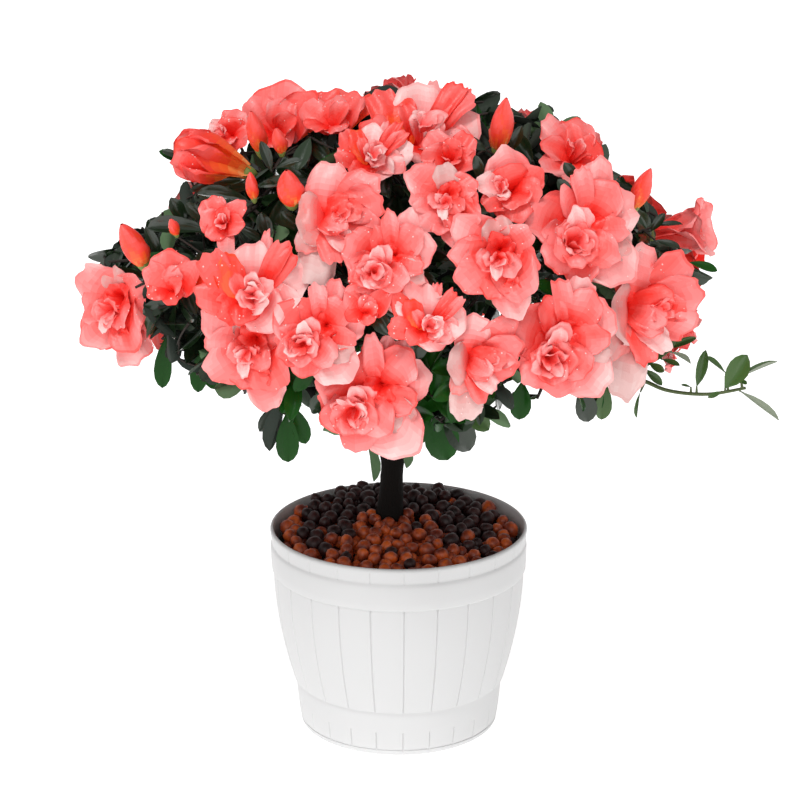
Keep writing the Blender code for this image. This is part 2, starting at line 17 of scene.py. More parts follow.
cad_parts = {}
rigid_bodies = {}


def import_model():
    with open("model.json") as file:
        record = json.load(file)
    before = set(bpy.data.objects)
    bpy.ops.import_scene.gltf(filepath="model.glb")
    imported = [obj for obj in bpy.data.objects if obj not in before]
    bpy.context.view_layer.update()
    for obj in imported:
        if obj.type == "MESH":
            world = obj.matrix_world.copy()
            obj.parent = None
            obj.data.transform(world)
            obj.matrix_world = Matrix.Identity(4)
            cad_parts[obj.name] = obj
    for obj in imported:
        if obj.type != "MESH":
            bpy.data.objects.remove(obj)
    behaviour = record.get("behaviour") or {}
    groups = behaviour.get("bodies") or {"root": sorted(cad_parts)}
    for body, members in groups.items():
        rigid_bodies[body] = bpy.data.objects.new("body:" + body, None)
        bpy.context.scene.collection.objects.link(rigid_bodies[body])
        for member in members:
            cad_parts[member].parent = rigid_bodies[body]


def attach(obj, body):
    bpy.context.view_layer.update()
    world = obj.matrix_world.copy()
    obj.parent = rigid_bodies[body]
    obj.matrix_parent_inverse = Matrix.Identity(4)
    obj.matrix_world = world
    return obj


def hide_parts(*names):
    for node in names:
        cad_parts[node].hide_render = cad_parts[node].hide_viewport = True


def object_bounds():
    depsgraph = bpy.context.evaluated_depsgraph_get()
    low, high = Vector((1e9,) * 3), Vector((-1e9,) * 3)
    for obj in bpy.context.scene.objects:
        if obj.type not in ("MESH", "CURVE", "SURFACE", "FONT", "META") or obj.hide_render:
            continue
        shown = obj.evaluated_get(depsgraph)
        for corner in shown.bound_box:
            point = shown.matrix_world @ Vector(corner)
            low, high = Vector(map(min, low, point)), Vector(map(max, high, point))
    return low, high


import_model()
cad_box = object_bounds()

MM = 0.001
UP = Vector((0, 0, 1))
FRONTMOST = cad_box[0][1] + 0.1 * MM  # no petal stands out further than the solids do

# Pot, as in the part's source
POT_HEIGHT = 157 * MM
RIM_RADIUS = 97.2 * MM
HOOP_RADIUS = 97 * MM
HOOP_LOW, HOOP_HIGH = 124 * MM, 144 * MM
NECK_RADIUS = 95.4 * MM
BODY_TOP_RADIUS = 95 * MM
BODY_FOOT_RADIUS = 80.5 * MM
BODY_CURVE = 1.8
BAND_HEIGHT = 36.5 * MM
BAND_RADIUS = 79 * MM
FOOT_RADIUS = 75.6 * MM
FOOT_HEIGHT = 4.6 * MM
WALL = 2.6 * MM
STAVES = 24
FIRST_SEAM = -87.5  # degrees round from +X, a little right of the front
SEAM_HALF = 0.62 * MM
SEAM_DEPTH = 0.75 * MM
NECK_SEAM = 0.6  # of that depth, over the hoop
SLOT_FILLET = 1.5 * MM
PIT_SHARE, PIT_HEIGHT = 0.55, 3.2 * MM  # how much deeper a seam is at its top, and how far down
SEAM_LIPS = (0.0, 0.22, 0.45, 0.75, 1.1, 1.6, 2.6, 4.4)  # degrees off a seam
SHARP_EDGE = math.radians(32)
SLOT_TOP = 19 * MM

# Clay pebbles
FILL_EDGE = 151.5 * MM
FILL_MOUND = 159.5 * MM
PEBBLE_SIZES = (9.2 * MM, 13.0 * MM)
PEBBLE_LAYERS = (0.0, 5.2 * MM, 10 * MM)  # how far down each lies
PEBBLE_TRIES = 5200
PEBBLE_REACH = 86 * MM
PEBBLE_CLOSE = 0.46  # how near two lie at the closest, as a share of both widths
FILL_RISE, FILL_LEAN = 0.09, 0.02  # the fill rises to the back and falls to the right
WHOLE_PEBBLES = 5
BROKEN, ODD_COLOURED = 0.03, 0.06  # shares of all pebbles
BED_BELOW = 11 * MM
BED_FLOOR = FILL_EDGE - 20 * MM
BED_SIDES = 48

# Trunk and boughs, as in the part's source
TRUNK_FOOT = Vector((-7, 18, 151)) * MM
TRUNK_HEAD = Vector((-3, 17, 222)) * MM
TRUNK_RADIUS = 9 * MM
FLARE_RADIUS = 14 * MM
HEAD_RADIUS = 11.5 * MM
LEAN_START = 0.08
MAIN_RADII = (6.0 * MM, 3.6 * MM)
SIDE_RADII = (4.0 * MM, 2.7 * MM)
CHILD_SHARE = 0.8
BOUGH_SHARE = 0.60
BOUGH_CROOK = 1.6 * MM
LEAVE_RISE = 0.75  # how steeply a main bough leaves the trunk
KEPT_HEADING = 0.35  # how far a side bough keeps to its parent's heading
MAIN_STEPS, SIDE_STEPS = 5, 3
ELBOW_SHARE = 0.42
HUB_SHARE = 0.16
STEM_END = 2.2 * MM
STEM_OVERLAP = 3  # millimetres back into the bough
SHOOT_RADII = (1.6 * MM, 1.0 * MM)
FINE_RADII = (1.0 * MM, 0.6 * MM)
BARK_STRETCH = (1.0, 1.0, 0.28)

# Crown
CROWN_MIDDLE = Vector((-2, 0, 365)) * MM
CROWN_REACH = Vector((225, 187, 126)) * MM
LOOK_SHARES = Vector((0.55, 1.0, 0.6))
LOOK_LIFT = Vector((0, 0, 0.15))
BACK_SLOPE = 0.22
CROWN_SKIN = 1.02
SHOULDER, LEFT_SHOULDER = 0.5, 0.8
SHOULDER_TURN = 120 * MM
UNDER_HEIGHT = 222 * MM
UNDER_SLOPE = 0.36
LEFT_START = -45 * MM
LEFT_SLOPE = 0.20
# Sky that shows under the crown at the right: its sides and top as seen at the front's depth, and how
# far a point farther back drops and spreads to be seen at the same place
GAP_SIDES = (96 * MM, 123 * MM)
GAP_TOP = 302 * MM
GAP_DEPTH = -110 * MM
SIGHT_FALL = 0.306
SIGHT_SPREAD = 0.58
BUD_REACH = 1.04
FRONT = Vector((0.0, -0.95, 0.3))
SHAPED_TO_FRONT = 0.55  # how far the shaped blooms of the front turn towards it
# The space of a bloom, in shares of its width: out, under, more under farther out, and over
BLOOM_OUT, BLOOM_UNDER, BLOOM_CONE, BLOOM_OVER = 0.46, 0.08, 0.25, 0.75
SLIM_OUT, SLIM_OVER = 0.36, 0.5

# Shoots and leaves
SHOOT_LAYERS = ((0.95, 520, 27), (0.90, 380, 20), (0.78, 260, 0), (0.62, 130, 0))
SHOOT_LOWEST = -50
SHOOT_ROOM = 3 * MM
SHORTEST_SHOOT = 12 * MM
JOINT_SHARES = (0.35, 0.6, 0.85)
SHARPEST_TURN = math.radians(70)
LEAF_LENGTH = (24 * MM, 36 * MM)
LEAF_WIDTH = 0.40
LEAVES_UNDER_BLOOM = 8
LEAVES_ON_SHOOT = 6
UNDER_LEANS, SHOOT_LEANS = (58, 88), (35, 80)  # degrees off the stem
SPRAY_REACH = 7  # millimetres of stem that a spray's leaves start from
LEAF_OVERLAP = 2 * MM
SHOOT_CROOK, SHOOT_SAG = 0.07, 0.03  # of a shoot's length
THICK_SHOOTS = 12  # of a mass, before its fine ones
CALYX_SIZE = 10 * MM
# How far behind a bloom's place its calyx sits and its stalk ends, in shares of its width
CALYX_BEHIND, SLIM_CALYX_BEHIND = 0.34, 0.66
STALK_BEHIND, SLIM_STALK_BEHIND = 0.28, 0.62
LEAF_SHAPES = (  # fold, arch, twist and wave
    (0.16, 0.10, 0.0, 0.0), (0.30, 0.20, 0.2, 0.01), (0.10, 0.28, -0.2, 0.015),
    (0.42, 0.04, 0.1, 0.0),
)

Mass = namedtuple("Mass", "parent share blooms buds places", defaults=((), (), ()))


def trio(turn, rise):
    return ((turn, rise + 13, 70), (turn - 16, rise - 10, 80), (turn + 15, rise - 6, 74))


# As in the part's source. A bloom of the front also has its form and, where it turns away, where
# it looks. A bud has its width and height.
MASSES = {
    "far_left": Mass(
        "trunk", 0.81, ((-64, -10.5, 70, "open"), (-43, 10, 44, "folded")), ((-51, 14.5, 18, 38),),
    ),
    "low_front": Mass(
        "trunk", 0.72, ((-4, -24, 80, "rose"), (16, -13, 54, "frill")), (), ((12, -43),),
    ),
    "far_right": Mass(
        "trunk", 0.74, ((77, 14, 54, "bell", (0.90, -0.32, 0.20)),), ((56, 30.5, 14, 34),),
    ),
    "back_left": Mass("trunk", 0.80, trio(-138, 3)),
    "back_right": Mass("trunk", 0.85, trio(140, 2)),
    "top": Mass(
        "trunk", 0.97, ((13, 65.5, 80, "pale"), (-6, 54, 48, "pale"), (15, 51, 48, "hang"))
    ),
    "left": Mass("far_left", 0.34, ((-25, 11, 72, "pale"),), ((-44, 23, 8, 15),)),
    "upper_left": Mass(
        "far_left", 0.50,
        (
            (-53.5, 45, 45, "tulip", (-0.92, -0.22, 0.36)), (-36, 27.5, 40, "hang"),
            (-65, 55, 34, "cup", (-0.30, -0.80, 0.50)),
        ),
        ((-31, 37, 9, 22),),
    ),
    "low_left": Mass(
        "low_front", 0.36, ((-27, -13, 66, "open"), (-13, -2, 64, "rose")), (),
        ((-38, -52), (-42, -24)),
    ),
    "centre": Mass(
        "low_front", 0.50, ((-1, 20, 62, "rose"), (6, 2.5, 50, "pale"), (-5, 8, 34, "folded"))
    ),
    "low_right": Mass("low_front", 0.72, ((31, -7, 78, "rose"),), (), ((22, -36), (36, -30))),
    "right": Mass("far_right", 0.30, ((40, 26, 80, "rose"),)),
    "lower_right": Mass("far_right", 0.46, ((53, -5, 76, "frill"),)),
    "right_shoot": Mass("far_right", 0.62),
    "top_right": Mass(
        "top", 0.30, ((27, 41, 50, "cup"), (57, 50, 54, "pair")), ((33, 56, 17, 42),),
    ),
    "centre_right": Mass("top", 0.46, ((18, 17, 64, "open"), (10, 35, 54, "open"))),
    "centre_left": Mass("top", 0.60, ((-11, 32, 64, "frill"),), ((-22, 37, 19, 27),)),
    "top_left": Mass(
        "top", 0.76,
        (
            (-62, 66, 60, "folded", (-0.20, -0.85, 0.45)), (-37, 71.5, 50, "folded"),
            (-116, 62, 50),
        ),
        ((-42, 53, 14, 32), (-33, 52, 11, 20)),
    ),
    "back_top": Mass("top", 0.88, ((172, 72, 72), (-146, 55, 66), (177, 53, 74))),
    "top_back_right": Mass("top", 0.68, ((140, 50, 66), (124, 40, 48))),
    "low_back_left": Mass("back_left", 0.40, ((-110, -12, 62), (-122, -22, 72), (-88, -22, 56))),
    "upper_back_left": Mass("back_left", 0.56, ((-134, 20, 66), (-155, 31, 72))),
    "back": Mass("back_right", 0.36, (*trio(180, 0), (-177, 35, 72))),
    "low_back_right": Mass("back_right", 0.50, trio(106, -13)),
    "upper_back_right": Mass("back_right", 0.62, ((122, 18, 68), (149, 30, 72))),
}
FOLIAGE = ["foliage_" + name for name in MASSES]
LIMBS = ["trunk"] + ["bough_" + name for name in MASSES]

SIDE_SHOOT = ((66, -35, 1.02), (66, -34, 1.14), (67, -31, 1.25), (69, -27, 1.33))
SIDE_SHOOT_RISE = 45 * MM
SHOOT_TWIG = ((170, -64, 291), (176, -72, 303), (186, -74, 310), (194, -73, 316))  # millimetres

# Leaves that show one by one: x, y and z of the root and of the tip, in millimetres, then, in
# hundredths, the width as a share of the length and how far the blade turns to the front
LONG_SHOOT_LEAVES = (
    (212, -79, 290, 217, -83, 316, 30, 80), (232, -80, 300, 218, -84, 314, 40, 30),
    (232, -80, 289, 246, -84, 313, 56, 100), (243, -80, 297, 266, -82, 312, 20, 40),
    (243, -79, 286, 272, -84, 269, 27, -90), (208, -78, 289, 201, -81, 292, 32, 50),
    (230, -79, 286, 220, -83, 283, 36, 80), (243, -80, 295, 247, -83, 293, 60, 80),
    (192, -72, 316, 210, -78, 326, 26, 70), (177, -74, 308, 188, -80, 321, 60, 90),
    (194, -72, 313, 208, -80, 310, 16, -70), (187, -76, 309, 199, -82, 307, 34, 60),
    (178, -76, 306, 188, -82, 302, 50, 80), (175, -78, 302, 187, -84, 293, 42, 80),
    (173, -70, 283, 169, -74, 265, 10, 10),
)
HANGING_LEAVES = (
    (140, -98, 300, 139, -101, 277, 44, 90), (86, -118, 306, 84, -124, 279, 55, 80),
    (-78, -106, 280, -78, -112, 243, 44, 90), (-74, -104, 283, -65, -110, 257, 46, 80),
    (22, -112, 292, 35, -118, 246, 52, 100), (17, -110, 288, 14, -112, 256, 46, 80),
    (-166, -62, 322, -170, -66, 284, 34, 70), (-140, -66, 318, -144, -70, 282, 36, 80),
    (-141, -64, 312, -131, -68, 284, 40, 80), (-172, -62, 366, -199, -62, 371, 28, 60),
    (-150, -56, 446, -166, -60, 457, 36, 70), (206, -60, 376, 226, -62, 371, 34, 70),
    (-24, -20, 232, -15, -24, 201, 20, -100), (1, -20, 230, 9, -24, 211, 50, -80),
)
PALE_LEAVES = (
    (146, -99, 298, 143, -103, 272, 46, 90), (38, -108, 292, 64, -112, 268, 44, 80),
)
DARK_LEAVES = (
    (128, -104, 298, 134, -108, 272, 60, 90), (31, -110, 289, 51, -114, 252, 50, 100),
    (-80, -108, 291, -93, -112, 254, 42, -80), (-84, -106, 285, -99, -108, 266, 40, 50),
    (-105, -80, 440, -145, -84, 435, 26, 60), (-101, -96, 427, -138, -98, 437, 28, 70),
    (-149, -70, 407, -158, -74, 425, 52, 90), (-126, -92, 405, -177, -80, 410, 20, 70),
    (-168, -66, 382, -177, -68, 403, 34, 80), (-150, -60, 451, -165, -62, 457, 34, 70),
    (-175, -76, 367, -204, -70, 372, 32, 80), (-135, -84, 411, -146, -88, 425, 50, 90),
    (-111, -108, 414, -94, -112, 405, 40, 80), (-67, -118, 412, -79, -122, 427, 50, 90),
    (-89, -116, 406, -93, -120, 425, 54, 90), (-87, -100, 450, -93, -102, 471, 34, 70),
    (-84, -102, 453, -66, -104, 460, 30, 70), (181, -60, 392, 199, -62, 388, 30, 70),
    (181, -58, 402, 200, -60, 405, 26, 70), (118, -122, 437, 108, -126, 450, 50, 90),
    (120, -116, 448, 113, -120, 460, 55, 90), (77, -86, 461, 84, -90, 479, 40, 90),
    (57, -120, 445, 52, -124, 466, 36, 90), (60, -100, 465, 45, -104, 474, 45, 80),
    (178, -58, 398, 187, -60, 411, 42, 90),
)

# Leaf tones: upper side, underside and how thick the wax is. Then which masses have which, by weight
LEAF_TONES = {
    "black_green": ("#1A2A16", "#38413A", 0.6),
    "deep_green": ("#20361C", "#465245", 0.6),
    "mid_green": ("#184812", "#5E7A56", 0.06),
    "olive_green": ("#42602E", "#868F7C", 0.3),
}
TONE_WEIGHTS = {
    "low_front": (1, 3, 6, 0), "low_left": (2, 4, 4, 0), "low_right": (1, 4, 5, 1),
    "lower_right": (1, 4, 4, 2), "centre_right": (2, 5, 2, 0), "right_shoot": (0, 1, 2, 6),
}
PLAIN_WEIGHTS = (6, 5, 1, 0)

# Petal tones from the throat to the rim: the number of tones, then places and colours between
# which they lie
PETAL_RAMPS = {
    "coral": (22, (
        (0, "#BC0C0A"), (0.14, "#E41C14"), (0.28, "#F8382E"), (0.46, "#FA5E58"), (0.62, "#FC7E7C"),
        (0.8, "#FCA19F"), (1, "#FAC8C5"),
    )),
    "tube": (14, (
        (0, "#FFC088"), (0.13, "#FF9348"), (0.3, "#FF6526"), (0.5, "#F93A22"), (0.75, "#F9524C"),
        (1, "#FA7672"),
    )),
    # petal backs turned from the light: paler undersides wet with drops, greyed and darkened as painted
    # shade
    "grey": (12, ((0, "#F03A30"), (0.3, "#EC7A76"), (0.6, "#D9A09C"), (1, "#E6C6C2"))),
}
RAMP_SPANS = {}

# Light, in shares of what makes a white surface white
TABLE_GLOW = 0.68
SKY = 0.46
SUNS = (
    ("key", (-0.20, -0.45, 0.87), 0.40, 14), ("front", (-0.10, -1.0, 0.30), 0.17, 40),
)

# Table and camera
TABLE_HALF = 30
CAMERA_LENS = 114.8
CAMERA_DOWN = math.radians(17.4)
CAMERA_AIM = Vector((0.001, 0, 0.255))
CAMERA_AWAY = 1.9

GOLDEN = math.pi * (3 - math.sqrt(5))  # from one leaf or petal round to the next


# Nodes and finishes


def linear(colour):
    """An sRGB hex value as linear red, green, blue and full alpha. A linear colour stays as it is."""
    if not isinstance(colour, str):
        return colour
    parts = [int(colour[k : k + 2], 16) / 255 for k in (1, 3, 5)]
    return (*(c / 12.92 if c <= 0.04045 else ((c + 0.055) / 1.055) ** 2.4 for c in parts), 1.0)


def add_node(tree, kind, inputs=(), **settings):
    """Adds a node. An input is a value, or a link: another node and the name of its output."""
    made = tree.nodes.new(kind)
    for name, value in settings.items():
        setattr(made, name, value)
    for name, value in dict(inputs).items():
        if isinstance(value, tuple) and isinstance(value[0], bpy.types.Node):
            tree.links.new(value[0].outputs[value[1]], made.inputs[name])
        else:
            made.inputs[name].default_value = value
    return made


def worked_out(tree, operation, first, second):
    """The link to what two numbers give, each a value or a link."""
    return add_node(tree, "ShaderNodeMath", {0: first, 1: second}, operation=operation), "Value"


def attribute(tree, name, kind):
    """The link to an attribute of the mesh."""
    made = add_node(tree, "GeometryNodeInputNamedAttribute", {"Name": name}, data_type=kind)
    return made, "Attribute"


def finish(name, colour, roughness, grain=(), **sockets):
    """A material with the same numbers all over, and the size, depth and stretch of its grain."""
    mat = bpy.data.materials.new(name)
    mat.use_nodes = True
    shader = mat.node_tree.nodes["Principled BSDF"]
    sockets = {"Base Color": linear(colour), "Roughness": roughness, **sockets}
    for socket, value in sockets.items():
        shader.inputs[socket.replace("_", " ")].default_value = value
    if grain:
        give_relief(mat, *grain)
    return mat


def noise_on(mat, size, detail, stretch=(1, 1, 1)):
    """The link to noise with features of a size in millimetres."""
    tree = mat.node_tree
    place = add_node(tree, "ShaderNodeTexCoord")
    spread = add_node(tree, "ShaderNodeMapping", {"Vector": (place, "Object"), "Scale": stretch})
    scale = 1 / (size * MM)
    inputs = {"Vector": (spread, "Vector"), "Scale": scale, "Detail": detail}
    return add_node(tree, "ShaderNodeTexNoise", inputs), "Fac"


def give_relief(mat, size, depth, stretch=(1, 1, 1)):
    """Grain of a size and depth in millimetres, as bump."""
    tree = mat.node_tree
    inputs = {"Height": noise_on(mat, size, 2.0, stretch), "Strength": 1.0, "Distance": depth * MM}
    bump = add_node(tree, "ShaderNodeBump", inputs)
    tree.links.new(bump.outputs["Normal"], tree.nodes["Principled BSDF"].inputs["Normal"])


def give_colours(mat, size, stops):
    """Patches of a size in millimetres between colours."""
    tree = mat.node_tree
    ramp = add_node(tree, "ShaderNodeValToRGB", {"Fac": noise_on(mat, size, 3.0)})
    elements = ramp.color_ramp.elements
    while len(elements) < len(stops):
        elements.new(0.5)
    for element, (place, code) in zip(elements, stops):
        element.position = place
        element.color = linear(code)
    tree.links.new(ramp.outputs["Color"], tree.nodes["Principled BSDF"].inputs["Base Color"])


def petal_finishes():
    """Every tone of petal, ramp by ramp, and where each ramp starts and how long it is.

    A petal is thin moist tissue. A faint glow in each tone's own colour is painted light: it stands in
    for the light that soaks through, so the shaded folds stay vivid.
    """
    mats, spans = [], {}
    for name, (count, stops) in PETAL_RAMPS.items():
        spans[name] = (len(mats), count)
        for k in range(count):
            share = k / (count - 1)
            upper = next(n for n, (place, _) in enumerate(stops) if place >= share and n)
            (low, dark), (high, pale) = stops[upper - 1], stops[upper]
            mix = (share - low) / (high - low)
            colour = [a + (b - a) * mix for a, b in zip(linear(dark), linear(pale))]
            mats.append(finish(
                f"azalea_petal_{name}_{k:02d}", colour, 0.38, (1.5, 0.22), Specular_IOR_Level=0.5,
                # painted light: each petal tone glows faintly in its own colour
                Emission_Color=colour, Emission_Strength=0.03,
            ))
    return mats, spans


def leaf_finish(name, upper, lower, wax):
    """Azalea leaf: a waxed upper side that mirrors the light softly, over a dull hairy underside."""
    top = finish(
        name, upper, 0.30, (2.2, 0.16), Specular_IOR_Level=0.1 + 0.4 * wax, Coat_Weight=wax,
        Coat_Roughness=0.12,
    )
    return top, finish(name + "_underside", lower, 0.7, (1.2, 0.10), Specular_IOR_Level=0.2)


# Building meshes


def new_mesh(name, points, edges=(), faces=()):
    """A mesh whose faces are shaded smooth."""
    mesh = bpy.data.meshes.new(name)
    mesh.from_pydata([tuple(p) for p in points], edges, faces)
    mesh.shade_smooth()
    return mesh


def set_attribute(mesh, name, kind, values, domain="POINT"):
    data = mesh.attributes.new(name, kind, domain).data
    if kind == "FLOAT_VECTOR":
        data.foreach_set("vector", [c for v in values for c in v])
    else:
        data.foreach_set("value", values)


def link_object(name, data):
    obj = bpy.data.objects.new(name, data)
    bpy.context.scene.collection.objects.link(obj)
    return obj


def mesh_object(name, points, faces, mats, indices=None):
    mesh = new_mesh(name, points, (), faces)
    for mat in mats:
        mesh.materials.append(mat)
    if indices is not None:
        mesh.polygons.foreach_set("material_index", indices)
    return link_object(name, mesh)


def mend(mesh, step, parts, dist):
    """Takes a bmesh step on those parts of a mesh and turns its faces outward."""
    bm = bmesh.new()
    bm.from_mesh(mesh)
    step(bm, **{parts: getattr(bm, parts)}, dist=dist)
    bmesh.ops.recalc_face_normals(bm, faces=bm.faces)
    bm.to_mesh(mesh)
    bm.free()


def round_at(turn, reach, x=0.0, y=0.0):
    """The x and y of a place that far from another, in the direction of a turn."""
    return x + math.cos(turn) * reach, y + math.sin(turn) * reach


def grid_faces(rows, cols, start=0):
    """Faces of a grid of points, rows first, its outside where rows cross columns."""
    return [
        (start + i * cols + j, start + (i + 1) * cols + j,
         start + (i + 1) * cols + j + 1, start + i * cols + j + 1)
        for i in range(rows - 1) for j in range(cols - 1)
    ]


def new_tree(name, sockets):
    """A Geometry Nodes tree with named inputs: each has a number to start from, or is of a kind."""
    tree = bpy.data.node_groups.new(name, "GeometryNodeTree")
    for in_out in ("OUTPUT", "INPUT"):
        tree.interface.new_socket("Geometry", in_out=in_out, socket_type="NodeSocketGeometry")
    for label, value in sockets.items():
        kind = value if isinstance(value, str) else "Int" if isinstance(value, int) else "Float"
        made = tree.interface.new_socket(label, in_out="INPUT", socket_type="NodeSocket" + kind)
        if kind != value:
            made.default_value = value
    return tree, add_node(tree, "NodeGroupInput")


def close_tree(tree, given, last, second=False):
    """Ends a tree in Realize Instances and Set Material, a second one where 'second' says so."""
    out = add_node(tree, "GeometryNodeRealizeInstances", {"Geometry": last})
    inputs = {"Geometry": (out, "Geometry"), "Material": (given, "Finish")}
    out = add_node(tree, "GeometryNodeSetMaterial", inputs)
    if second:
        inputs = {"Geometry": (out, "Geometry"), "Material": (given, "Second Finish")}
        inputs["Selection"] = attribute(tree, "second", "BOOLEAN")
        out = add_node(tree, "GeometryNodeSetMaterial", inputs)
    add_node(tree, "NodeGroupOutput", {"Geometry": (out, "Geometry")})
    return tree


def make_with(tree, name, mesh, **inputs):
    """Runs a tree on a mesh and keeps the result as a plain mesh."""
    obj = link_object(name, mesh)
    modifier = obj.modifiers.new(tree.name, "NODES")
    modifier.node_group = tree
    inputs.setdefault("Second_Finish", inputs["Finish"])
    for item in tree.interface.items_tree:
        label = item.name.replace(" ", "_")
        if item.in_out == "INPUT" and label in inputs:
            modifier[item.identifier] = inputs[label]
    graph = bpy.context.evaluated_depsgraph_get()
    made = bpy.data.meshes.new_from_object(obj.evaluated_get(graph))
    obj.modifiers.remove(modifier)
    obj.data = made
    made.name = name
    return obj


def limb_tree():
    """Round limbs along lines of edges: a smooth path, a thickness at each point, and relief."""
    tree, given = new_tree("Limbs along lines", {
        "Sides": 12, "Step": 2 * MM, "Relief": 0.0, "Grain": 5 * MM, "Finish": "Material",
    })
    line = add_node(tree, "GeometryNodeMeshToCurve", {"Mesh": (given, "Geometry")})
    bent = add_node(
        tree, "GeometryNodeCurveSplineType", {"Curve": (line, "Curve")}, spline_type="CATMULL_ROM"
    )
    inputs = {"Curve": (bent, "Curve"), "Length": (given, "Step")}
    even = add_node(tree, "GeometryNodeResampleCurve", inputs, mode="LENGTH")
    inputs = {"Radius": 1.0, "Resolution": (given, "Sides")}
    ring = add_node(tree, "GeometryNodeCurvePrimitiveCircle", inputs)
    tube = add_node(tree, "GeometryNodeCurveToMesh", {
        "Fill Caps": True, "Curve": (even, "Curve"), "Profile Curve": (ring, "Curve"),
        "Scale": attribute(tree, "thickness", "FLOAT"),
    })
    place = add_node(tree, "GeometryNodeInputPosition")
    squeezed = add_node(
        tree, "ShaderNodeVectorMath", {0: (place, "Position"), 1: BARK_STRETCH}, operation="MULTIPLY"
    )
    noise = add_node(tree, "ShaderNodeTexNoise", {
        "Detail": 3.0, "Roughness": 0.6, "Vector": (squeezed, "Vector"),
        "Scale": worked_out(tree, "DIVIDE", 1.0, (given, "Grain")),
    })
    swell = worked_out(
        tree, "MULTIPLY", worked_out(tree, "SUBTRACT", (noise, "Fac"), 0.5), (given, "Relief")
    )
    normal = add_node(tree, "GeometryNodeInputNormal")
    inputs = {0: (normal, "Normal"), "Scale": swell}
    offset = add_node(tree, "ShaderNodeVectorMath", inputs, operation="SCALE")
    inputs = {"Geometry": (tube, "Mesh"), "Offset": (offset, "Vector")}
    rough = add_node(tree, "GeometryNodeSetPosition", inputs)
    smooth = add_node(tree, "GeometryNodeSetShadeSmooth", {"Geometry": (rough, "Geometry")})
    return close_tree(tree, given, (smooth, "Geometry"))


def form_tree():
    """Forms of a collection on points, each with its own turn, size and form number."""
    tree, given = new_tree("Forms on points", {
        "Forms": "Collection", "Finish": "Material", "Second Finish": "Material",
    })
    inputs = {"Separate Children": True, "Reset Children": True, "Collection": (given, "Forms")}
    forms = add_node(tree, "GeometryNodeCollectionInfo", inputs)
    inputs = {"Euler": attribute(tree, "turn", "FLOAT_VECTOR")}
    turn = add_node(tree, "FunctionNodeEulerToRotation", inputs)
    placed = add_node(tree, "GeometryNodeInstanceOnPoints", {
        "Pick Instance": True, "Points": (given, "Geometry"), "Instance": (forms, "Instances"),
        "Rotation": (turn, "Rotation"), "Scale": attribute(tree, "size", "FLOAT_VECTOR"),
        "Instance Index": attribute(tree, "form", "INT"),
    })
    return close_tree(tree, given, (placed, "Instances"), second=True)


def stave_tree():
    """One stave turned round the pot as often as there are staves, and joined."""
    tree, given = new_tree("Staves round a pot", {"Staves": STAVES, "Finish": "Material"})
    spots = add_node(tree, "GeometryNodePoints", {"Count": (given, "Staves")})
    index = add_node(tree, "GeometryNodeInputIndex")
    share = worked_out(tree, "DIVIDE", (index, "Index"), (given, "Staves"))
    angle = worked_out(tree, "MULTIPLY", share, math.tau)
    euler = add_node(tree, "ShaderNodeCombineXYZ", {"Z": angle})
    turn = add_node(tree, "FunctionNodeEulerToRotation", {"Euler": (euler, "Vector")})
    ring = add_node(tree, "GeometryNodeInstanceOnPoints", {
        "Points": (spots, "Points"), "Instance": (given, "Geometry"), "Rotation": (turn, "Rotation"),
    })
    real = add_node(tree, "GeometryNodeRealizeInstances", {"Geometry": (ring, "Instances")})
    inputs = {"Distance": 0.01 * MM, "Geometry": (real, "Geometry")}
    joined = add_node(tree, "GeometryNodeMergeByDistance", inputs)
    return close_tree(tree, given, (joined, "Geometry"))


def point_mesh(name, rows):
    """Points with a turn, a size, a form number and, for some, whether they take the second finish."""
    places, turns, sizes, forms, *second = zip(*rows)
    mesh = new_mesh(name, places)
    set_attribute(mesh, "turn", "FLOAT_VECTOR", turns)
    set_attribute(mesh, "size", "FLOAT_VECTOR", sizes)
    set_attribute(mesh, "form", "INT", forms)
    if second:
        set_attribute(mesh, "second", "BOOLEAN", second[0])
    return mesh


def form_collection(name, meshes):
    """The forms as objects in a collection, in order, gone again by the end of the script."""
    forms = bpy.data.collections.new(name)
    for k, mesh in enumerate(meshes):
        forms.objects.link(bpy.data.objects.new(f"{name}_{k}", mesh))
    return forms


# Pot


def body_radius(height):
    share = (height - BAND_HEIGHT) / (HOOP_LOW - BAND_HEIGHT)
    return BODY_FOOT_RADIUS + (BODY_TOP_RADIUS - BODY_FOOT_RADIUS) * (1 - (1 - share) ** BODY_CURVE)


def band_radius(height):
    """The foot band, which tapers and then turns in."""
    share = max(height - FOOT_HEIGHT, 0.0) / (BAND_HEIGHT - FOOT_HEIGHT)
    return FOOT_RADIUS + (BAND_RADIUS - FOOT_RADIUS) * share**0.75


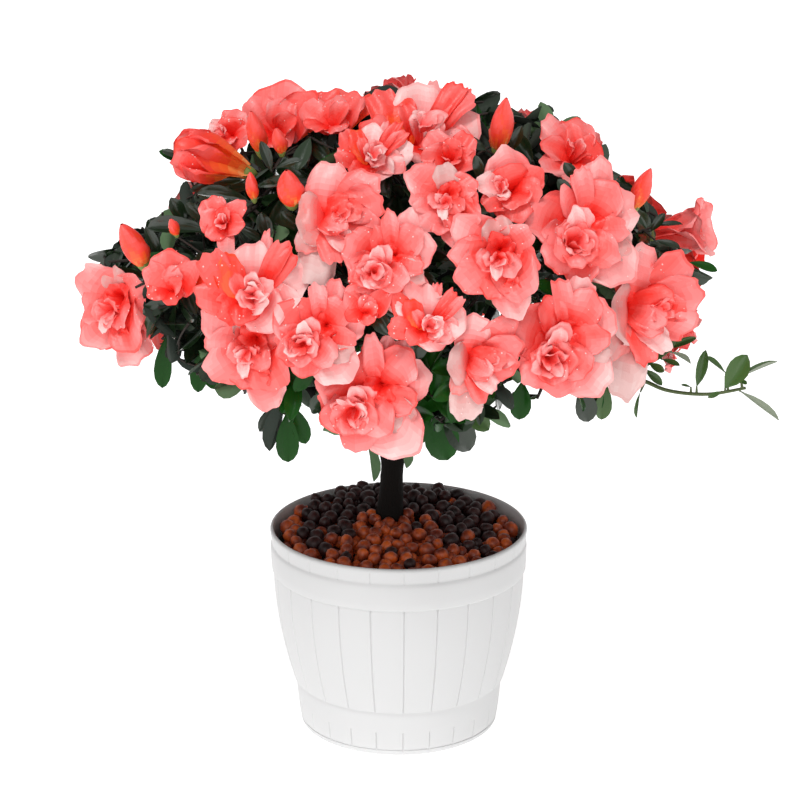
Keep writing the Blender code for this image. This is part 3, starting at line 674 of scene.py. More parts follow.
def pot_profile():
    """Radius, height and whether the seams reach it, from the inner floor up and over the rim."""
    profile = []

    def add(base, *rows, seamed=False):
        profile.extend((base + off * MM, height * MM, seamed) for off, height in rows)

    def follow(radius_at, thick, *heights, seamed=True):
        profile.extend((radius_at(h * MM) - thick, h * MM, seamed) for h in heights)

    add(0.0, (0, WALL / MM), (40, WALL / MM), (62, WALL / MM), (66.5, 4), (69, 9), (70.5, 20), (72, 32))
    follow(body_radius, WALL, 42, 55, 70, 85, 100, 112, 122, seamed=False)
    add(NECK_RADIUS - WALL, (0, 132), (0.5, 145))
    add(RIM_RADIUS - WALL, (-0.2, 155.5), (0.1, 156.5), (0.6, POT_HEIGHT / MM))
    add(RIM_RADIUS, (-1.5, 156.9), (-0.9, 156.6), (-0.4, 156.0), (-0.1, 155.3))
    add(RIM_RADIUS, *((-1.2 * k / 6, 154.6 - 9.2 * k / 6) for k in range(7)), seamed=True)
    add(HOOP_RADIUS, (-0.9, 145), (-0.62, 144.4), (-0.35, 143.7), (-0.12, 142.8), (0, 141.6))
    add(HOOP_RADIUS, (-0.1, 138), (-0.3, 131), (-0.6, 125.2), (-0.9, 124.4), (-1.4, 124))
    add(BODY_TOP_RADIUS, (0.3, 123.9))
    follow(body_radius, 0, 123.6, 122.6, 121.4, 120.2, *np.linspace(115, 42, 18), 39.5, 38.2, 37.4)
    add(BODY_FOOT_RADIUS, (-0.3, 37.0), (-0.9, 36.75))
    add(BAND_RADIUS, (0.1, 36.6))
    follow(band_radius, 0, 36.2, 34, 30, 26, 22.5, 20.5, 19.6, 19.2, 18.8, 18.2, 17, 15, 13, 11, 9.5)
    follow(band_radius, 0, 8.4, 7.6, 7, 6.5, 6, 5.6, 5.3, 5, 4.75, 4.5, 4.2, 3.9)
    add(FOOT_RADIUS, (-0.15, 3.2), (-0.4, 1.9), (-0.9, 0.8), (-1.6, 0.2), (-2.6, 0))
    add(0.0, (30, 0), (0, 0))
    return profile


def seam_depth(arc, height):
    """How deep the moulded lines are at a point that far along the wall from a seam."""
    if height > HOOP_HIGH:
        return NECK_SEAM * SEAM_DEPTH * max(0.0, 1 - arc / SEAM_HALF)
    if height > BAND_HEIGHT:
        pit = PIT_SHARE * max(0.0, 1 - (HOOP_LOW - height) / PIT_HEIGHT)
        return SEAM_DEPTH * (1 + pit) * max(0.0, 1 - arc / (SEAM_HALF * (1 + pit)))
    ring = abs(height - FOOT_HEIGHT)
    slot = math.hypot(arc, max(height - SLOT_TOP, 0.0))
    near = min(ring, slot)
    if ring < SLOT_FILLET and slot < SLOT_FILLET:
        near = SLOT_FILLET - math.hypot(SLOT_FILLET - ring, SLOT_FILLET - slot)
    return SEAM_DEPTH * max(0.0, 1 - max(near, 0.0) / SEAM_HALF)


def make_pot(mat):
    """Moulded polypropylene: a smooth shell with V seams between its staves, and a plain hoop."""
    half = 180 / STAVES
    angles = [-half + a for a in SEAM_LIPS] + [0.0] + [half - a for a in SEAM_LIPS[::-1]]
    profile = pot_profile()
    points = []
    for radius, height, seamed in profile:
        for angle in angles:
            arc = math.radians(half - abs(angle)) * radius
            r = radius - seam_depth(arc, height) if seamed else radius
            at = math.radians(FIRST_SEAM + half + angle)
            points.append((*round_at(at, r), height))
    faces = [(a, d, c, b) for a, b, c, d in grid_faces(len(profile), len(angles))]
    wedge = new_mesh("stave", points, (), faces)
    pot = make_with(stave_tree(), "staved_pot", wedge, Staves=STAVES, Finish=mat)
    mend(pot.data, bmesh.ops.dissolve_degenerate, "edges", 0.002 * MM)
    pot.data.shade_smooth()
    pot.data.set_sharp_from_angle(angle=SHARP_EDGE)
    return pot


# Pebbles


def mound(away):
    edge = NECK_RADIUS - WALL
    return FILL_MOUND + (FILL_EDGE - FILL_MOUND) * (away / edge) ** 2


def random_vector(rng):
    return Vector([rng.uniform(-1, 1) for _ in range(3)])


def pebble_forms():
    """Five rounded pebbles and a broken one."""
    meshes = []
    for k in range(WHOLE_PEBBLES + 1):
        rng = random.Random(f"pebble {k}")
        bm = bmesh.new()
        bmesh.ops.create_icosphere(bm, subdivisions=2, radius=0.5)
        waves = [
            (random_vector(rng).normalized(), rng.uniform(2, 5), rng.uniform(0, 6)) for _ in range(4)
        ]
        for vertex in bm.verts:
            way = vertex.co.normalized()
            swell = sum(math.sin(way.dot(axis) * n + phase) for axis, n, phase in waves)
            vertex.co *= 1 + 0.045 * swell
        if k == WHOLE_PEBBLES:
            bmesh.ops.bisect_plane(
                bm, geom=[*bm.verts, *bm.edges, *bm.faces], plane_co=(0.1, 0, 0.12),
                plane_no=(0.6, 0.2, 1.0), clear_outer=True,
            )
            bmesh.ops.holes_fill(bm, edges=[e for e in bm.edges if e.is_boundary])
        mesh = bpy.data.meshes.new(f"pebble_{k}")
        bm.to_mesh(mesh)
        bm.free()
        mesh.shade_smooth()
        meshes.append(mesh)
    return meshes


def pebble_rows():
    """Pebbles side by side in three layers, most dark round and behind the trunk."""
    rng = random.Random("pebbles")
    rows = []
    for lower in PEBBLE_LAYERS:
        placed = []
        for _ in range(PEBBLE_TRIES):
            away = math.sqrt(rng.random()) * PEBBLE_REACH
            turn = rng.uniform(0, math.tau)
            x, y = round_at(turn, away)
            wide = rng.uniform(*PEBBLE_SIZES)
            to_wall = NECK_RADIUS - WALL - away - wide / 2
            to_trunk = math.hypot(x - TRUNK_FOOT.x, y - TRUNK_FOOT.y) - TRUNK_RADIUS - wide * 0.42
            if to_wall < 0.2 * MM or to_trunk < 0:
                continue
            if any(math.hypot(x - a, y - b) < (wide + w) * PEBBLE_CLOSE for a, b, w in placed):
                continue
            placed.append((x, y, wide))
            # Dark ones lie behind a line that falls away to both sides, with a loose edge
            xm, ym = x / MM + rng.uniform(-5, 5), y / MM + rng.uniform(-5, 5)
            dark = ym > 22 - 1.7 * max(0, abs(xm + 3) - 20) and abs(xm + 1) < 70
            if rng.random() < ODD_COLOURED:
                dark = not dark
            z = mound(away) + FILL_RISE * max(y, 0) - FILL_LEAN * x - wide * 0.30 - lower
            z += rng.uniform(-1.2, 1.2) * MM
            turn = [rng.uniform(0, math.tau) for _ in range(3)]
            size = [wide * rng.uniform(0.88, 1.08) for _ in range(3)]
            form = WHOLE_PEBBLES if rng.random() < BROKEN else rng.randrange(WHOLE_PEBBLES)
            rows.append(((x, y, z), turn, size, form, dark))
    return rows


def make_bed(mat):
    """What lies under the pebbles: a low closed mound that shuts the pot, near black where it shows
    between them.
    """
    radii = [k / 8 * (NECK_RADIUS - WALL - 0.8 * MM) for k in range(9)]
    profile = [(r, mound(r) - BED_BELOW) for r in radii]
    profile += [(radii[-1] - 1.5 * MM, BED_FLOOR), (0.0, BED_FLOOR)]
    turns = [math.tau * k / BED_SIDES for k in range(BED_SIDES + 1)]
    points = [(*round_at(turn, r), h) for r, h in profile for turn in turns]
    bed = mesh_object("bed_under_pebbles", points, grid_faces(len(profile), len(turns)), (mat,))
    mend(bed.data, bmesh.ops.remove_doubles, "verts", 0.005 * MM)
    return bed


# Places on the crown, trunk and boughs, as in the part's source


def direction(turn, rise):
    t, r = math.radians(turn), math.radians(rise)
    return Vector((math.sin(t) * math.cos(r), -math.cos(t) * math.cos(r), math.sin(r)))


def on_dome(turn, rise, reach=1.0):
    """A place on the crown, which slopes down to the back."""
    place = CROWN_MIDDLE + direction(turn, rise) * CROWN_REACH * reach
    return place - UP * max(place.y, 0) * BACK_SLOPE


def facing(turn, rise):
    return (direction(turn, rise) * LOOK_SHARES + LOOK_LIFT).normalized()


def sites(name):
    if name == "right_shoot":
        return [on_dome(*place) for place in SIDE_SHOOT]
    return [on_dome(bloom[0], bloom[1]) for bloom in MASSES[name].blooms]


def middle(name):
    points = sites(name)
    if name == "right_shoot":
        return points[0] + UP * SIDE_SHOOT_RISE
    return sum(points, Vector()) / len(points)


def trunk_line():
    heights_and_radii = (
        (0.0, FLARE_RADIUS), (LEAN_START, FLARE_RADIUS * 0.84), (0.2, TRUNK_RADIUS * 1.1),
        (0.42, TRUNK_RADIUS), (0.66, TRUNK_RADIUS * 0.97), (0.82, HEAD_RADIUS * 0.94),
        (0.94, HEAD_RADIUS), (1.06, HEAD_RADIUS * 0.62),
    )
    rise = TRUNK_HEAD - TRUNK_FOOT
    lean = Vector((rise.x, rise.y, 0))
    path = [
        TRUNK_FOOT + lean * max(share - LEAN_START, 0) + UP * rise.z * share
        for share, _ in heights_and_radii
    ]
    return path, [radius for _, radius in heights_and_radii]


def along(path, share):
    left = share * sum((b - a).length for a, b in zip(path, path[1:]))
    for a, b in zip(path, path[1:]):
        step = (b - a).length
        if left <= step:
            break
        left -= step
    return a.lerp(b, min(left / step, 1.0)), (b - a).normalized()


def nearest_on(paths, point):
    """The place on any of the paths that lies nearest to a point."""
    best = None
    for path in paths:
        for a, b in zip(path, path[1:]):
            share = min(max((point - a).dot(b - a) / (b - a).length_squared, 0), 1)
            place = a.lerp(b, share)
            if best is None or (point - place).length < (point - best).length:
                best = place
    return best


def bough_line(name, lines):
    mass = MASSES[name]
    parent_path, parent_radii = lines[mass.parent]
    start, heading = along(parent_path, mass.share)
    tip = TRUNK_HEAD.lerp(middle(name), BOUGH_SHARE)
    way = (tip - start).normalized()
    if name == "top":
        leave = UP
    elif mass.parent == "trunk":
        leave = (Vector((way.x, way.y, 0)).normalized() + UP * LEAVE_RISE).normalized()
    else:
        leave = (heading * KEPT_HEADING + way).normalized()
    elbow = start + leave * (tip - start).length * ELBOW_SHARE
    rng = random.Random("bough " + name)
    last = MAIN_STEPS if mass.parent == "trunk" else SIDE_STEPS
    path = []
    for k in range(last + 1):
        s = k / last
        point = start * (1 - s) ** 2 + elbow * 2 * s * (1 - s) + tip * s**2
        path.append(point + random_vector(rng) * BOUGH_CROOK * math.sin(math.pi * s))
    thick, thin = MAIN_RADII if mass.parent == "trunk" else SIDE_RADII
    there = parent_radii[round(mass.share * (len(parent_radii) - 1))]
    thick = min(thick, CHILD_SHARE * there)
    thin = min(thin, CHILD_SHARE * thick)
    return path, [thick + (thin - thick) * k / last for k in range(last + 1)]


def line_mesh(name, lines):
    """Lines as chains of edges, with the thickness at each point."""
    points, edges, thick = [], [], []
    for path, radii in lines:
        start = len(points)
        points += path
        thick += radii
        edges += [(start + k, start + k + 1) for k in range(len(path) - 1)]
    mesh = new_mesh(name, points, edges)
    set_attribute(mesh, "thickness", "FLOAT", thick)
    return mesh


def aimed(place, aim, spin=0.0):
    turn = aim.to_track_quat("Z", "Y").to_matrix().to_4x4()
    return Matrix.Translation(place) @ turn @ Matrix.Rotation(spin, 4, "Z")


# Blooms: x to the right, y up and z where each looks


def petal(*row, **more):
    """A petal in hundredths of the bloom's width: the x and y of its root and of its tip, its width,
    how far its tip stands forward, its tone, and what sets it apart."""
    x, y, tip_x, tip_y, width, height, tone = (number / 100 for number in row)
    more = {name: part if isinstance(part, str) else part / 100 for name, part in more.items()}
    return dict(root=(x, y), tip=(tip_x, tip_y), width=width, height=height, tone=tone, **more)


def funnel(x, y, count, reach, first, width, height, tone, **more):
    """Petals round a throat, in shares of the bloom's width."""
    turns = [math.radians(first + 360 * k / count) for k in range(count)]
    same = dict(root=(x, y), width=width, height=height, tone=tone, **more)
    return [dict(same, tip=round_at(turn, reach, x, y)) for turn in turns]


# The heart of a double bloom: x, y, size, number of crumpled petals, tone
Heart = namedtuple("Heart", "x y size count tone")

ROSE = (
    petal(-10, -2, -49, 18, 50, 2, 62, bulge=16), petal(-12, -10, -46, -12, 34, 0, 55),
    petal(-14, -14, -40, -32, 36, 2, 60), petal(-12, -18, -10, -53, 34, 2, 66, bulge=10),
    petal(-2, -12, 36, -54, 48, 0, 84, bulge=16), petal(0, -8, 38, -24, 32, -1, 60, ramp="grey"),
    petal(3, -4, 36, -6, 26, 2, 58), petal(5, 3, 50, 17, 42, 0, 82, bulge=16),
    petal(6, 8, 20, 54, 27, 3, 74, bulge=10), petal(5, 5, 27, 37, 36, 13, 68, bulge=30),
    petal(2, 6, -5, 51, 18, 8, 66, cup=50), petal(0, 4, -16, 34, 30, 2, 54),
    *funnel(0.06, 0.05, 5, 0.15, 20, 0.20, -0.02, 0.30, depth=-0.24),
    petal(-10, -10, 17, -32, 32, 15, 66, bulge=35), petal(-12, -8, -5, 12, 21, 20, 74, bulge=30),
    petal(-13, -10, -14, 10, 16, 22, 90, cup=40),
    *funnel(-0.17, -0.17, 5, 0.20, 200, 0.27, 0.13, 0.60, cup=0.5, deep=0.22, wave=0.09),
    Heart(-0.17, -0.16, 0.17, 9, 0.72),
)
OPEN = (
    petal(2, 16, -47, 44, 50, 3, 74, bulge=14), petal(4, 20, -6, 53, 34, -2, 62, ramp="grey"),
    petal(0, 12, -46, 8, 40, 2, 62), petal(2, 8, -37, -27, 48, 6, 64, bulge=12),
    petal(4, 4, -5, -36, 38, 3, 58), petal(8, 14, 36, -34, 46, 10, 60, cup=35, wave=9),
    petal(10, -5, 26, -53, 40, 0, 78, bulge=16), petal(8, 20, 38, 38, 34, 2, 66),
    petal(10, 10, 44, 4, 40, 0, 54),
    *funnel(0.05, 0.18, 5, 0.16, 50, 0.20, 0.00, 0.30, depth=-0.24),
    petal(6, 16, 20, -12, 26, 14, 62, bulge=20), petal(0, 12, -18, -2, 26, 13, 66, bulge=20),
    petal(-2, 10, -2, -17, 13, 15, 96, cup=50),
    *funnel(0.18, -0.20, 3, 0.10, 90, 0.13, 0.06, 0.34, cup=0.5), Heart(0.02, 0.04, 0.15, 5, 0.66),
)
FRILL = (
    petal(-18, 6, -6, 60, 50, 0, 82, bulge=16), petal(-12, 8, 36, 48, 40, 0, 60, bulge=10),
    petal(-12, 6, 47, 17, 38, 8, 70, wave=10), petal(-12, 3, 40, -14, 36, 7, 62, wave=10),
    petal(-20, -2, -48, -2, 56, 3, 60, ramp="grey", bulge=10),
    petal(-22, -4, -40, -42, 28, 0, 50, ramp="grey"),
    petal(-22, -8, -28, -80, 40, -3, 80, ramp="grey", bulge=14), petal(-20, -6, -2, -50, 26, 4, 56),
    petal(-18, -6, 15, -36, 24, 7, 92, wave=10), petal(-18, 4, 26, 4, 28, 14, 46, wave=10, deep=25),
    petal(-16, 8, 12, 14, 24, 16, 42, wave=10, deep=25),
    petal(-18, 2, 6, -12, 26, 15, 70, wave=10, deep=30),
    petal(-20, 0, 4, -20, 26, 12, 62, wave=9, deep=20),
    Heart(0.02, 0.02, 0.13, 5, 0.56),
)
PALE = (
    petal(-20, -20, -46, 31, 30, 3, 70, ramp="tube"), petal(-18, -20, -27, 28, 28, 5, 62, ramp="tube"),
    petal(-20, -20, -58, -6, 30, 6, 46, bulge=25), petal(0, -10, 10, 49, 14, -3, 72),
    petal(2, -8, 31, 39, 19, 9, 44, cup=30), petal(4, -8, 42, 28, 20, 8, 52),
    petal(-6, -12, -6, 41, 48, 3, 92, bulge=16, deep=45),
    petal(-2, -10, 49, 10, 58, 1, 96, bulge=16, deep=45), petal(-2, -12, 42, -22, 38, 0, 82, deep=30),
    petal(-4, -14, 20, -40, 44, 1, 84, wave=10, deep=20), petal(-10, -16, -10, -40, 30, 0, 40),
    petal(-14, -16, -34, -34, 30, 0, 48), petal(-10, -14, -20, 10, 15, 12, 52, cup=50),
    petal(-6, -14, 18, -2, 20, 15, 84, cup=60, deep=30),
    petal(-6, -16, 16, -20, 24, 12, 86, wave=10, deep=30), Heart(0.00, -0.10, 0.17, 8, 0.84),
)
FOLDED = (
    petal(0, -30, -12, 40, 78, 4, 58, bulge=14, wave=5), petal(-4, -28, -44, 8, 44, 3, 54, bulge=14),
    petal(10, -28, 38, 22, 46, 10, 50, cup=50), petal(16, -28, 62, 30, 30, 0, 66, ramp="tube"),
    petal(-8, -20, -36, -38, 34, 5, 40, bulge=20), petal(0, -24, 14, -46, 36, 2, 46, bulge=10),
    petal(0, -26, 6, 12, 36, 16, 64, bulge=25), petal(2, -26, 22, -6, 26, 18, 52, cup=50),
)
HANG = (
    petal(0, 0, -34, 40, 46, 4, 66, bulge=14), petal(4, 0, 36, 36, 34, 4, 56),
    petal(0, -2, -40, 2, 42, 4, 58), petal(4, -4, 42, -6, 40, 4, 50, cup=30),
    petal(4, -6, 18, -62, 30, 2, 72, bulge=10), petal(0, -6, -20, -32, 36, 6, 56),
    petal(2, 0, 4, 24, 26, 14, 50, cup=40), Heart(0.02, -0.02, 0.18, 5, 0.62),
)
CUP = (
    petal(4, 0, -4, 50, 64, 4, 70, bulge=20), petal(6, -6, 46, 18, 50, 0, 56),
    petal(4, -8, 44, -22, 52, 6, 48, bulge=20), petal(2, -10, 4, -56, 56, 8, 48, bulge=25),
    petal(0, -8, -38, -36, 40, 6, 60), petal(0, -2, -46, -4, 40, 8, 86, wave=10),
    petal(4, -6, -6, 26, 56, 15, 46, bulge=35), petal(0, -12, 12, -36, 42, 18, 50, bulge=30),
    Heart(-0.14, -0.08, 0.18, 6, 0.80),
)
PAIR = (
    petal(2, -14, -20, 46, 44, 2, 66, bulge=16), petal(4, -14, 28, 40, 46, 3, 62, bulge=16),
    petal(-2, -18, -54, -30, 40, 3, 66, bulge=10), petal(6, -18, 46, -4, 40, 0, 52),
    petal(2, -20, 16, -52, 44, 2, 40), petal(-2, -18, -24, -52, 26, 4, 84),
    petal(0, -14, -40, 6, 34, 5, 58), petal(2, -14, 4, 20, 26, 14, 50, cup=50),
    Heart(0.02, -0.12, 0.16, 5, 0.60),
)
TULIP = (
    *funnel(0, 0, 3, 0.10, 10, 0.80, 0.56, 0.80, ramp="tube", depth=-0.62, cup=0.9, deep=0.1,
            claw=0.3, belly=0.42, wave=0.05),
    *funnel(0, 0, 3, 0.16, 70, 0.74, 0.62, 0.86, ramp="tube", depth=-0.60, cup=0.8, deep=0.1,
            claw=0.3, belly=0.32, wave=0.05),
)
BELL = (
    *funnel(0, 0, 5, 0.41, 18, 0.50, 0.22, 0.74, depth=-0.52, cup=0.2, claw=0.42, deep=0.40),
    *funnel(0, 0, 3, 0.20, 50, 0.30, 0.12, 0.60, depth=-0.4, cup=0.5, wave=0.09),
)
FORMS = {
    "rose": ROSE, "open": OPEN, "frill": FRILL, "pale": PALE, "folded": FOLDED, "cup": CUP,
    "bell": BELL, "hang": HANG, "pair": PAIR, "tulip": TULIP,
}
SLIM = {"bell", "tulip"}


def double_form(rng):
    """A double bloom by rule: broad outer petals, a second whorl and a crumpled heart."""
    first = rng.uniform(0, 360)
    pale = rng.uniform(0.54, 0.86)
    x, y = rng.uniform(-0.06, 0.06), rng.uniform(-0.06, 0.06)
    petals = []
    for count, shift, reach, width, height in (
        (6, 0, 0.48, 0.50, 0.01), (4, 30, 0.30, 0.34, 0.12),
    ):
        for k in range(count):
            turn = math.radians(first + shift + 360 * k / count + rng.uniform(-14, 14))
            out = reach * rng.uniform(0.86, 1.04)
            petals.append(dict(
                root=(x * 0.6, y * 0.6), tip=round_at(turn, out, x, y),
                width=width * rng.uniform(0.85, 1.1), height=height + rng.uniform(-0.05, 0.05),
                tone=pale + rng.uniform(-0.14, 0.10), bulge=rng.uniform(0, 0.25),
                wave=rng.uniform(0.05, 0.10),
            ))
    return (*petals, Heart(x, y, 0.20, 8, pale - 0.06))


def crumpled(heart, rng):
    """The petals of a heart, each turned, rolled and cupped its own way."""
    petals = []
    for k in range(heart.count):
        turn = GOLDEN * k + rng.uniform(-0.7, 0.7)
        off = heart.size * rng.uniform(0.05, 0.5)
        x, y = round_at(turn, off, heart.x, heart.y)
        way = turn + rng.uniform(-0.9, 0.9)
        out = heart.size * rng.uniform(0.35, 0.8)
        petals.append(dict(
            root=(x, y), tip=round_at(way, out, x, y),
            width=heart.size * rng.uniform(0.7, 1.15), height=rng.uniform(0.11, 0.20),
            tone=heart.tone + rng.uniform(-0.2, 0.16), cup=rng.uniform(-0.2, 0.7),
            roll=rng.uniform(-35, 35), bulge=rng.uniform(0, 0.3), wave=0.09,
            deep=rng.uniform(0.12, 0.4), arch=0.16,
        ))
    return petals


# How far along a petal its rows of points lie
FINE_STEPS = np.array((0, 0.10, 0.22, 0.34, 0.46, 0.57, 0.67, 0.76, 0.84, 0.91, 0.965, 1.0))
COARSE_STEPS = np.array((0, 0.2, 0.4, 0.58, 0.74, 0.87, 0.965, 1.0))
FINE_COLUMNS, COARSE_COLUMNS = 17, 9
TIP_ROUND = 0.46  # of the petal's width
BLOOM_SPIN = 7  # degrees
TIP_STRAY, HEIGHT_STRAY, TONE_STRAY = 0.025, 0.012, 0.04
DROP_PETAL = 0.25  # a narrower petal has no drops
DROP_COUNTS = (0, 1, 2, 4, 6)
DROP_SIZES = (0.6, 1.5)  # millimetres


def tone_numbers(shade, ramp, rng):
    """The material of each face, mottled by part of a tone as real tissue is."""
    first, count = RAMP_SPANS[ramp]
    mottle = np.array([rng.uniform(-0.3, 0.3) for _ in range(shade.size)]).reshape(shade.shape)
    return (first + np.clip((shade * count + mottle).astype(int), 0, count - 1)).reshape(-1)


def petal_grid(
    rng, steps, cols, root, tip, width, height, tone, depth=-0.2, arch=0.12, cup=0.0, roll=0.0,
    wave=0.07, bulge=0.04, deep=0.12, claw=0.3, belly=0.0, ramp="coral",
):
    """A petal's points in shares of the bloom's width, and the tone of each of its faces."""
    def some(low, high):
        return rng.uniform(low, high)

    def ripple(grid, low, high):
        return np.sin(grid * some(low, high) + some(0, 6))

    flat = np.array((tip[0] - root[0], tip[1] - root[1], 0.0))
    reach = np.linalg.norm(flat)
    out = flat / reach
    across = np.array((-out[1], out[0], 0.0))
    up = np.array((0.0, 0.0, 1.0))
    start = np.array((root[0], root[1], depth)) - out * 0.015
    end = np.array((tip[0], tip[1], height))
    bend = start + out * (reach * 0.22 + belly)
    bend += up * ((max(height, 0.0) - depth) * 0.66 + arch)
    blunt = min(max(TIP_ROUND * width / reach, 0.16), 0.44)
    v, u = np.meshgrid(steps, np.linspace(-1, 1, cols), indexing="ij")
    side_share = np.sin(u * math.pi / 2)
    s = v * (1 - blunt * (1 - np.cos(u * math.pi / 2)))
    s = s * (1 + v * 0.035 * ripple(u, 2.5, 4.5))
    s = s * (1 + v * 0.022 * ripple(u, 9, 14))
    swell = np.clip(s / (1 - blunt), 0, 1)
    half = width * 0.53 * (claw + (1 - claw) * swell * (2 - swell)) * side_share
    half = half * (1 + 0.05 * v * ripple(v, 9, 14))
    s = s[..., None]
    line = start * (1 - s) ** 2 + bend * 2 * s * (1 - s) + end * s**2
    tangent = (bend - start) * 2 * (1 - s) + (end - bend) * 2 * s
    tangent /= np.linalg.norm(tangent, axis=2, keepdims=True)
    side = across * math.cos(math.radians(roll)) + up * math.sin(math.radians(roll))
    normal = np.cross(tangent, side)
    normal /= np.linalg.norm(normal, axis=2, keepdims=True)
    side = np.cross(normal, tangent)
    slow = v**1.3 * np.sin(u * some(1.8, 3.4) + some(0, 6) + v * some(1, 3))
    quick = v**2.6 * ripple(u, 7, 10)
    edge = v * u**2 * np.sin(v * some(8, 12) + np.sign(u) * 1.3 + some(0, 6))
    crinkle = v * np.sin(u * 5 + v * 3 + some(0, 6)) * np.sin(v * 7 - u * 2 + some(0, 6))
    crease = -np.exp(-((u / 0.22) ** 2)) * v * (1.1 - v)
    pleat = ripple(u, 8, 12) * v * (1.15 - v)
    rise = wave * width * (
        slow + 0.75 * quick + 0.8 * edge + 0.8 * crinkle + 1.2 * crease + 0.6 * pleat
    )
    rise += (cup - bulge) * width / 2 * swell * side_share**2 * (1 - 0.6 * v**3)
    rise -= bulge * reach * v**3 * 0.5
    points = line + side * half[..., None] + normal * rise[..., None]

    def faces(grid):
        return (grid[1:, 1:] + grid[:-1, :-1] + grid[1:, :-1] + grid[:-1, 1:]) / 4

    v_face = faces(v)
    u_face = np.abs(faces(u))
    shade = deep + (tone - deep) * np.clip(v_face * 1.1, 0, 1) ** some(0.7, 1.1)
    # Painted shade and highlight: faces in the valleys of the folds and along the middle crease step
    # down the ramp to deeper tones, faces on the crests step up to paler ones.
    shade += 0.09 * faces(slow) + 0.07 * faces(crinkle) + 0.06 * faces(crease) + 0.07 * faces(pleat)
    veins = np.array([some(-0.022, 0.022) for _ in range(cols - 1)])
    shade += veins[None, :] * (1.2 - v_face)
    if some(0, 1) < 0.6:
        margin = (v_face > 0.97) | ((u_face > 1 - 1.2 / (cols - 1)) & (v_face > 0.45))
        shade -= 0.12 * margin
    return points.reshape(-1, 3), tone_numbers(shade, ramp, rng)


class Posy:
    """Petals and buds gathered into one mesh."""

    def __init__(self):
        self.points, self.faces, self.tones, self.count = [], [], [], 0

    def add(self, points, tones, rows, cols, matrix):
        m = np.array(matrix)
        placed = points @ m[:3, :3].T + m[:3, 3]
        placed[:, 1] = np.maximum(placed[:, 1], FRONTMOST)
        self.points.append(placed)
        self.faces += grid_faces(rows, cols, self.count)
        self.tones += [int(tone) for tone in tones]
        self.count += len(points)

    def made(self, name, mats):
        return mesh_object(name, np.concatenate(self.points), self.faces, mats, self.tones)


def add_bloom(posy, place, look, width, form, rng, fine, drops):
    """One bloom, and the places of water drops on its petals."""
    petals = FORMS[form] if form in FORMS else double_form(rng)
    matrix = aimed(place, look) @ Matrix.Scale(width, 4)
    if form in FORMS:
        matrix = matrix @ Matrix.Rotation(math.radians(rng.uniform(-BLOOM_SPIN, BLOOM_SPIN)), 4, "Z")
    steps, cols = (FINE_STEPS, FINE_COLUMNS) if fine else (COARSE_STEPS, COARSE_COLUMNS)
    rows = len(steps)
    turned = np.array(matrix)
    plans = []
    for entry in petals:
        plans += crumpled(entry, rng) if isinstance(entry, Heart) else [entry]
    for plan in plans:
        plan = dict(plan)
        plan["tip"] = tuple(c + rng.uniform(-TIP_STRAY, TIP_STRAY) for c in plan["tip"])
        plan["height"] += rng.uniform(-HEIGHT_STRAY, HEIGHT_STRAY)
        plan["tone"] += rng.uniform(-TONE_STRAY, TONE_STRAY)
        points, tones = petal_grid(rng, steps, cols, **plan)
        posy.add(points, tones, rows, cols, matrix)
        if plan["width"] < DROP_PETAL or not fine:
            continue
        grid = points.reshape(rows, cols, 3)
        for _ in range(rng.choice(DROP_COUNTS)):
            i, j = rng.randrange(rows // 2, rows - 1), rng.randrange(1, cols - 1)
            here = turned[:3, :3] @ grid[i, j] + turned[:3, 3]
            span = np.cross(grid[i + 1, j] - grid[i, j], grid[i, j + 1] - grid[i, j])
            normal = Vector(turned[:3, :3] @ span).normalized()
            drops.append((here, normal, rng.uniform(*DROP_SIZES) * MM))


def add_bud(posy, place, look, width, tall, rng):
    """A pointed bud of petals rolled round each other, orange and streaked at its base."""
    rows, cols = 13, 25
    v, u = np.meshgrid(np.linspace(0, 1, rows), np.linspace(0, 1, cols), indexing="ij")
    swell = np.sin(v**0.85 * math.pi * 0.98) ** 0.75
    wraps = (u * 3 + v * 0.9 + rng.random()) % 1.0
    radius = (0.10 * (1 - v) + 0.42 * swell) * (0.88 + 0.22 * wraps)
    radius = radius * (1 + 0.03 * np.sin(u * math.tau * 5 + v * 6) * v)
    turn = u * math.tau
    lean = 0.12 * v**2
    points = np.stack(
        (radius * np.cos(turn) + lean, radius * np.sin(turn), (v - 0.3) * tall / width), axis=2
    )
    v_face = (v[1:, 1:] + v[:-1, :-1]) / 2
    wrap_face = (wraps[1:, 1:] + wraps[:-1, :-1]) / 2
    streak = np.arange(cols - 1)[None, :] % 4 == 0
    shade = 0.13 + 0.60 * v_face**0.55 + 0.34 * (wrap_face - 0.5) - 0.12 * streak * (v_face < 0.4)
    matrix = aimed(place, look, rng.uniform(0, 6)) @ Matrix.Scale(width, 4)
    posy.add(points.reshape(-1, 3), tone_numbers(shade, "tube", rng), rows, cols, matrix)


def ring_faces(rings, sides):
    """Faces round a form whose points lie in rings, from the lowest ring up."""
    faces = []
    for low in range(0, (rings - 1) * sides, sides):
        for k in range(sides):
            n = (k + 1) % sides
            faces.append((low + k, low + n, low + sides + n, low + sides + k))
    return faces


def calyx_form():
    """The toothed cup that holds a bloom, unit sized along +Z."""
    rings = ((0.10, -0.5), (0.30, -0.25), (0.42, 0.05), (0.5, 0.35))
    sides = 10
    points = []
    for radius, height in rings:
        for k in range(sides):
            tooth = 0.16 if height > 0.2 and k % 2 else 0.0
            points.append((*round_at(math.tau * k / sides, radius), height + tooth))
    ends = [tuple(range(sides))[::-1], tuple(range(len(points) - sides, len(points)))]
    return new_mesh("calyx", points, (), ring_faces(len(rings), sides) + ends)


